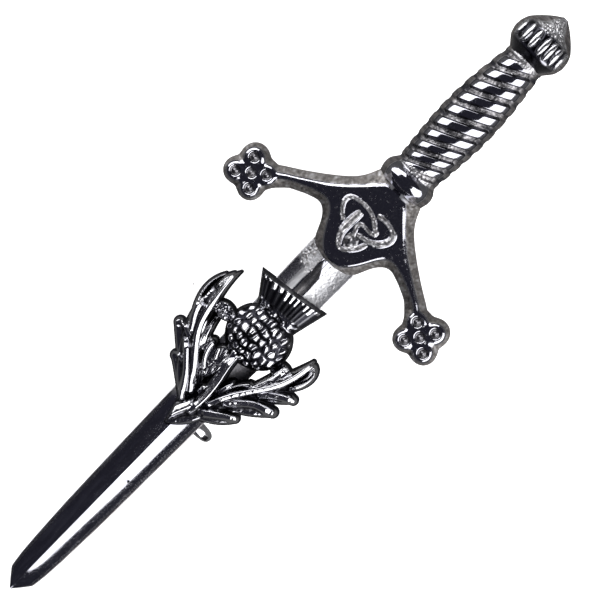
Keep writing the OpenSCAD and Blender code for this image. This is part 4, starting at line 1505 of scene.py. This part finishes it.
@dataclass
class PinAndCatch:
    """The steel pin and its hooked catch, swept along their wires' middle lines."""

    catch_skin: DrawnWire
    pin_skin: DrawnWire
    pin_r: float = 0.65
    catch_r: float = 0.725
    bend_r: float = 2.2
    post_bend_r: float = 1.0
    hook_turn: float = 235.0
    catch_s: float = 30.2
    catch_x: float = 2.03
    pin_x: float = 1.85
    lug_s: float = 67.4
    lug_len: float = 4.4
    root_in: float = 1.0
    post_in: float = 0.7
    taper_s: float = 36.0
    point_s: float = 27.6
    point_r: float = 0.12
    pin_drop: float = 0.8
    tip_rings: int = 12
    # Middle of the painted dark reflection on the catch's bend, as x and s.
    dark_reflection_at: tuple = (4.28, 30.12)
    sides: int = 48

    def tube(self, name: str, path: Array, radius: Array, flat: Array) -> bpy.types.Object:
        """Carries a circle along a plane path.

        Args:
            name: the piece's name.
            path: middle line, in mm of the model's frame.
            radius: the circle's radius at each point.
            flat: unit normal of the path's plane.

        Returns:
            The wire. Its points are path + radius (cos a side + sin a flat).
        """
        way = np.gradient(path, axis=0)
        way /= np.linalg.norm(way, axis=1, keepdims=True)
        side = np.cross(flat, way)
        a = np.linspace(0, 2 * math.pi, self.sides, endpoint=False)[None, :, None]
        circle = np.cos(a) * side[:, None, :] + np.sin(a) * np.cross(way, side)[:, None, :]
        rings = (path[:, None, :] + radius[:, None, None] * circle) * MM
        x, s = rings[..., 0] / MM, rings[..., 1] / MM + SWORD_LEN / 2
        return loft_object(name, rings, {"dark_reflection": self.dark_reflection(x, s)})

    def dark_reflection(self, x: Array, s: Array) -> Array:
        """A painted dark reflection on the catch's bend. Args: x and s of each point. Returns: its share.
        """
        gap = np.maximum(np.abs(x - self.dark_reflection_at[0]), np.abs(s - self.dark_reflection_at[1]))
        return ramp(0.4, 0.28, gap)

    def catch(self) -> bpy.types.Object:
        """The catch: hook, bend and post, with a rounded free end.

        The hook is an arc of hook_turn degrees about its middle, from the top round by the outer side.
        A quarter bend leads from its top up into the post.

        Returns:
            The catch.
        """
        zc = self.catch_r + self.bend_r
        t = np.radians(np.linspace(90 - self.hook_turn, 90, 120))
        hook = np.stack([self.catch_x + self.bend_r * np.cos(t), 0 * t,
                         zc + self.bend_r * np.sin(t)], axis=1)
        q = np.radians(np.linspace(-90, -180, 30))[1:]
        arc_z = zc + self.bend_r + self.post_bend_r
        turn = np.stack([self.catch_x + self.post_bend_r * np.cos(q), 0 * q,
                         arc_z + self.post_bend_r * np.sin(q)], axis=1)
        post = np.linspace(arc_z, BACK_Z + self.post_in, 6)[1:]
        top = np.stack([0 * post + self.catch_x - self.post_bend_r, 0 * post, post], axis=1)
        path = np.concatenate([hook, turn, top])
        path[:, 1] += self.catch_s - SWORD_LEN / 2
        radius = np.full(len(path), self.catch_r)
        tip = (np.arange(self.tip_rings) + 0.35) / self.tip_rings
        radius[:self.tip_rings] *= np.sqrt(np.clip(1 - (1 - tip) ** 2.6, 0.02, 1))
        return self.tube("catch_wire", path, radius, np.array([0.0, 1.0, 0.0]))

    def pin(self) -> bpy.types.Object:
        """The pin: a straight wire whose last stretch tapers to a round point.

        Returns:
            The pin.
        """
        root = self.lug_s + self.lug_len / 2 - self.root_in
        nose = self.point_s - self.point_r * np.array([0.98, 0.7, 0.3])
        cone = np.linspace(self.point_s, self.taper_s, 60)
        s = np.concatenate([nose, cone, np.linspace(self.taper_s + 0.3, root, 40)])
        ease = np.clip((s - self.point_s) / (self.taper_s - self.point_s), 0, 1)
        radius = self.point_r + (self.pin_r - self.point_r) * np.sin(ease * math.pi / 2) ** 0.9
        radius[:3] = self.point_r * np.array([0.2, 0.7, 0.95])
        z = self.catch_r + self.bend_r - self.pin_drop
        path = np.stack([np.full_like(s, self.pin_x), s - SWORD_LEN / 2, np.full_like(s, z)], axis=1)
        return self.tube("pin_wire", path, radius, np.array([1.0, 0.0, 0.0]))

    def build(self, groups: SkinGroups) -> list[bpy.types.Object]:
        """Builds both wires in the CAD pieces' places.

        Args:
            groups: the shared shader groups.

        Returns:
            The catch and the pin.
        """
        catch, pin = self.catch(), self.pin()
        dress(catch, self.catch_skin.material(groups), Finish.CATCH)
        dress(pin, self.pin_skin.material(groups), Finish.PIN)
        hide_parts("catch")
        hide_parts("pin_stem")
        return [catch, pin]


@dataclass
class Studio:
    """Light table, light panels, dark surround and camera."""

    target: tuple = (0.741, 1.62, 9.0)
    tilt_deg: float = 5.0
    up: tuple = (-0.6975, 0.7166)
    distance: float = 1240.8
    lens: float = 600.0
    sensor: float = 36.0
    floor_half: float = 1.5
    floor_seen: float = 0.86
    floor_mirrored: float = 0.1
    floor_glow: float = 0.85
    surround: tuple = (0.036, 0.036, 0.05)
    radiance: float = 4.0
    # Light panels: name, middle, the point that it faces, width and height, in mm
    panels: tuple = (
        ("right_panel", (112, 5, 84), (0, 5, 84), (220, 164)),
        ("left_panel", (-112, 62, 60), (0, 62, 60), (164, 116)),
        ("top_panel", (-112, 178, 66), (0, 0, 66), (140, 110)),
    )

    def camera(self) -> None:
        """Sets the camera above the face, tilted a little towards the pommel."""
        data = bpy.data.cameras.new("camera")
        data.lens, data.sensor_width = self.lens, self.sensor
        data.clip_start, data.clip_end = 0.01, 10
        tilt = math.radians(self.tilt_deg)
        back = Vector((0, math.sin(tilt), math.cos(tilt)))
        rough_up = Vector((*self.up, 0))
        up = (rough_up - back * rough_up.dot(back)).normalized()
        right = up.cross(back)
        eye = Vector(self.target) * MM + back * self.distance * MM
        turn = Matrix((right, up, back)).transposed().to_4x4()
        seen = bpy.data.objects.new("camera", data)
        bpy.context.scene.collection.objects.link(seen)
        seen.matrix_world = Matrix.Translation(eye) @ turn
        bpy.context.scene.camera = seen

    def panel(self, name: str, middle: tuple, aim: tuple, size: tuple) -> None:
        """Hangs one light panel.

        Args:
            name: the panel's name.
            middle: its middle, in mm.
            aim: the point that it faces, in mm.
            size: its width and height, in mm.
        """
        data = bpy.data.lights.new(name, "AREA")
        data.shape = "RECTANGLE"
        data.size, data.size_y = size[0] * MM, size[1] * MM
        data.energy = self.radiance * math.pi * data.size * data.size_y
        lamp = bpy.data.objects.new(name, data)
        bpy.context.scene.collection.objects.link(lamp)
        way = Vector(aim) - Vector(middle)
        turn = way.to_track_quat("-Z", "Y").to_matrix().to_4x4()
        lamp.matrix_world = Matrix.Translation(Vector(middle) * MM) @ turn

    def floor(self) -> None:
        """Lays the light table: a wide pale sheet that glows a little and is dim in reflections."""
        mesh = bpy.data.meshes.new("floor")
        half = self.floor_half
        corners = [(-half, -half, 0), (half, -half, 0), (half, half, 0), (-half, half, 0)]
        mesh.from_pydata(corners, [], [(0, 1, 2, 3)])
        table = bpy.data.objects.new("floor", mesh)
        bpy.context.scene.collection.objects.link(table)
        made, net, shader = new_material("light_table")
        seen_straight = net.tree.nodes.new("ShaderNodeLightPath").outputs["Is Camera Ray"]
        for key, seen in (("Base Color", self.floor_seen), ("Emission Color", 1.0)):
            low = seen * self.floor_mirrored
            net.put(shader.inputs[key], net.mix(seen_straight, (low,) * 3, (seen,) * 3))
        net.feed(shader, Roughness=0.9, Specular_IOR_Level=0.0, Emission_Strength=self.floor_glow)
        mesh.materials.append(made)

    def build(self) -> None:
        """Sets everything up.

        The right panel stands along the whole sword, from the table to 34 degrees off the zenith. The
        left one reaches to 44 degrees and stands by the hilt only, so the blade's left side stays
        dark. The top one stands beyond the pommel on the left and lights the ends of the forms.
        """
        self.camera()
        self.floor()
        world = bpy.data.worlds.new("surround")
        world.use_nodes = True
        Net(world.node_tree).feed(world.node_tree.nodes["Background"], Color=self.surround, Strength=1.0)
        bpy.context.scene.world = world
        bpy.context.scene.view_settings.view_transform = "Standard"
        for row in self.panels:
            self.panel(*row)


def main() -> None:
    """Builds the pin and its studio, and reports each piece."""
    logging.basicConfig(level=logging.INFO, format="%(name)s: %(message)s")
    groups = SkinGroups()
    cast = CastSkin("plated_casting", (0.34, 0.34, 0.38), (0.215, 0.2, 0.19), (0.02, 0.02, 0.025),
                    (0.68, 0.68, 0.7), gloss=0.08, speckle=0.32)
    antiqued = CastSkin("antiqued_plating", (0.36, 0.36, 0.39), (0.13, 0.13, 0.13), (0.015, 0.015, 0.02),
                        (0.55, 0.55, 0.57), gloss=0.13, grain=0.3, speckle=0.15)
    catch = DrawnWire("bright_wire", (0.72, 0.72, 0.74), (0.3, 0.3, 0.32), 0.2, 0.7)
    pin = DrawnWire("pin_wire", (0.64, 0.64, 0.66), (0.28, 0.28, 0.3), 0.28, 0.8)
    pieces = Sword(cast).build(groups) + Thistle(antiqued).build(groups)
    pieces += PinAndCatch(catch, pin).build(groups)
    Studio().build()
    for piece in pieces:
        LOG.info("made %s, finish %s", piece.name, piece.data.materials[0].name)


if __name__ == "__main__":
    main()
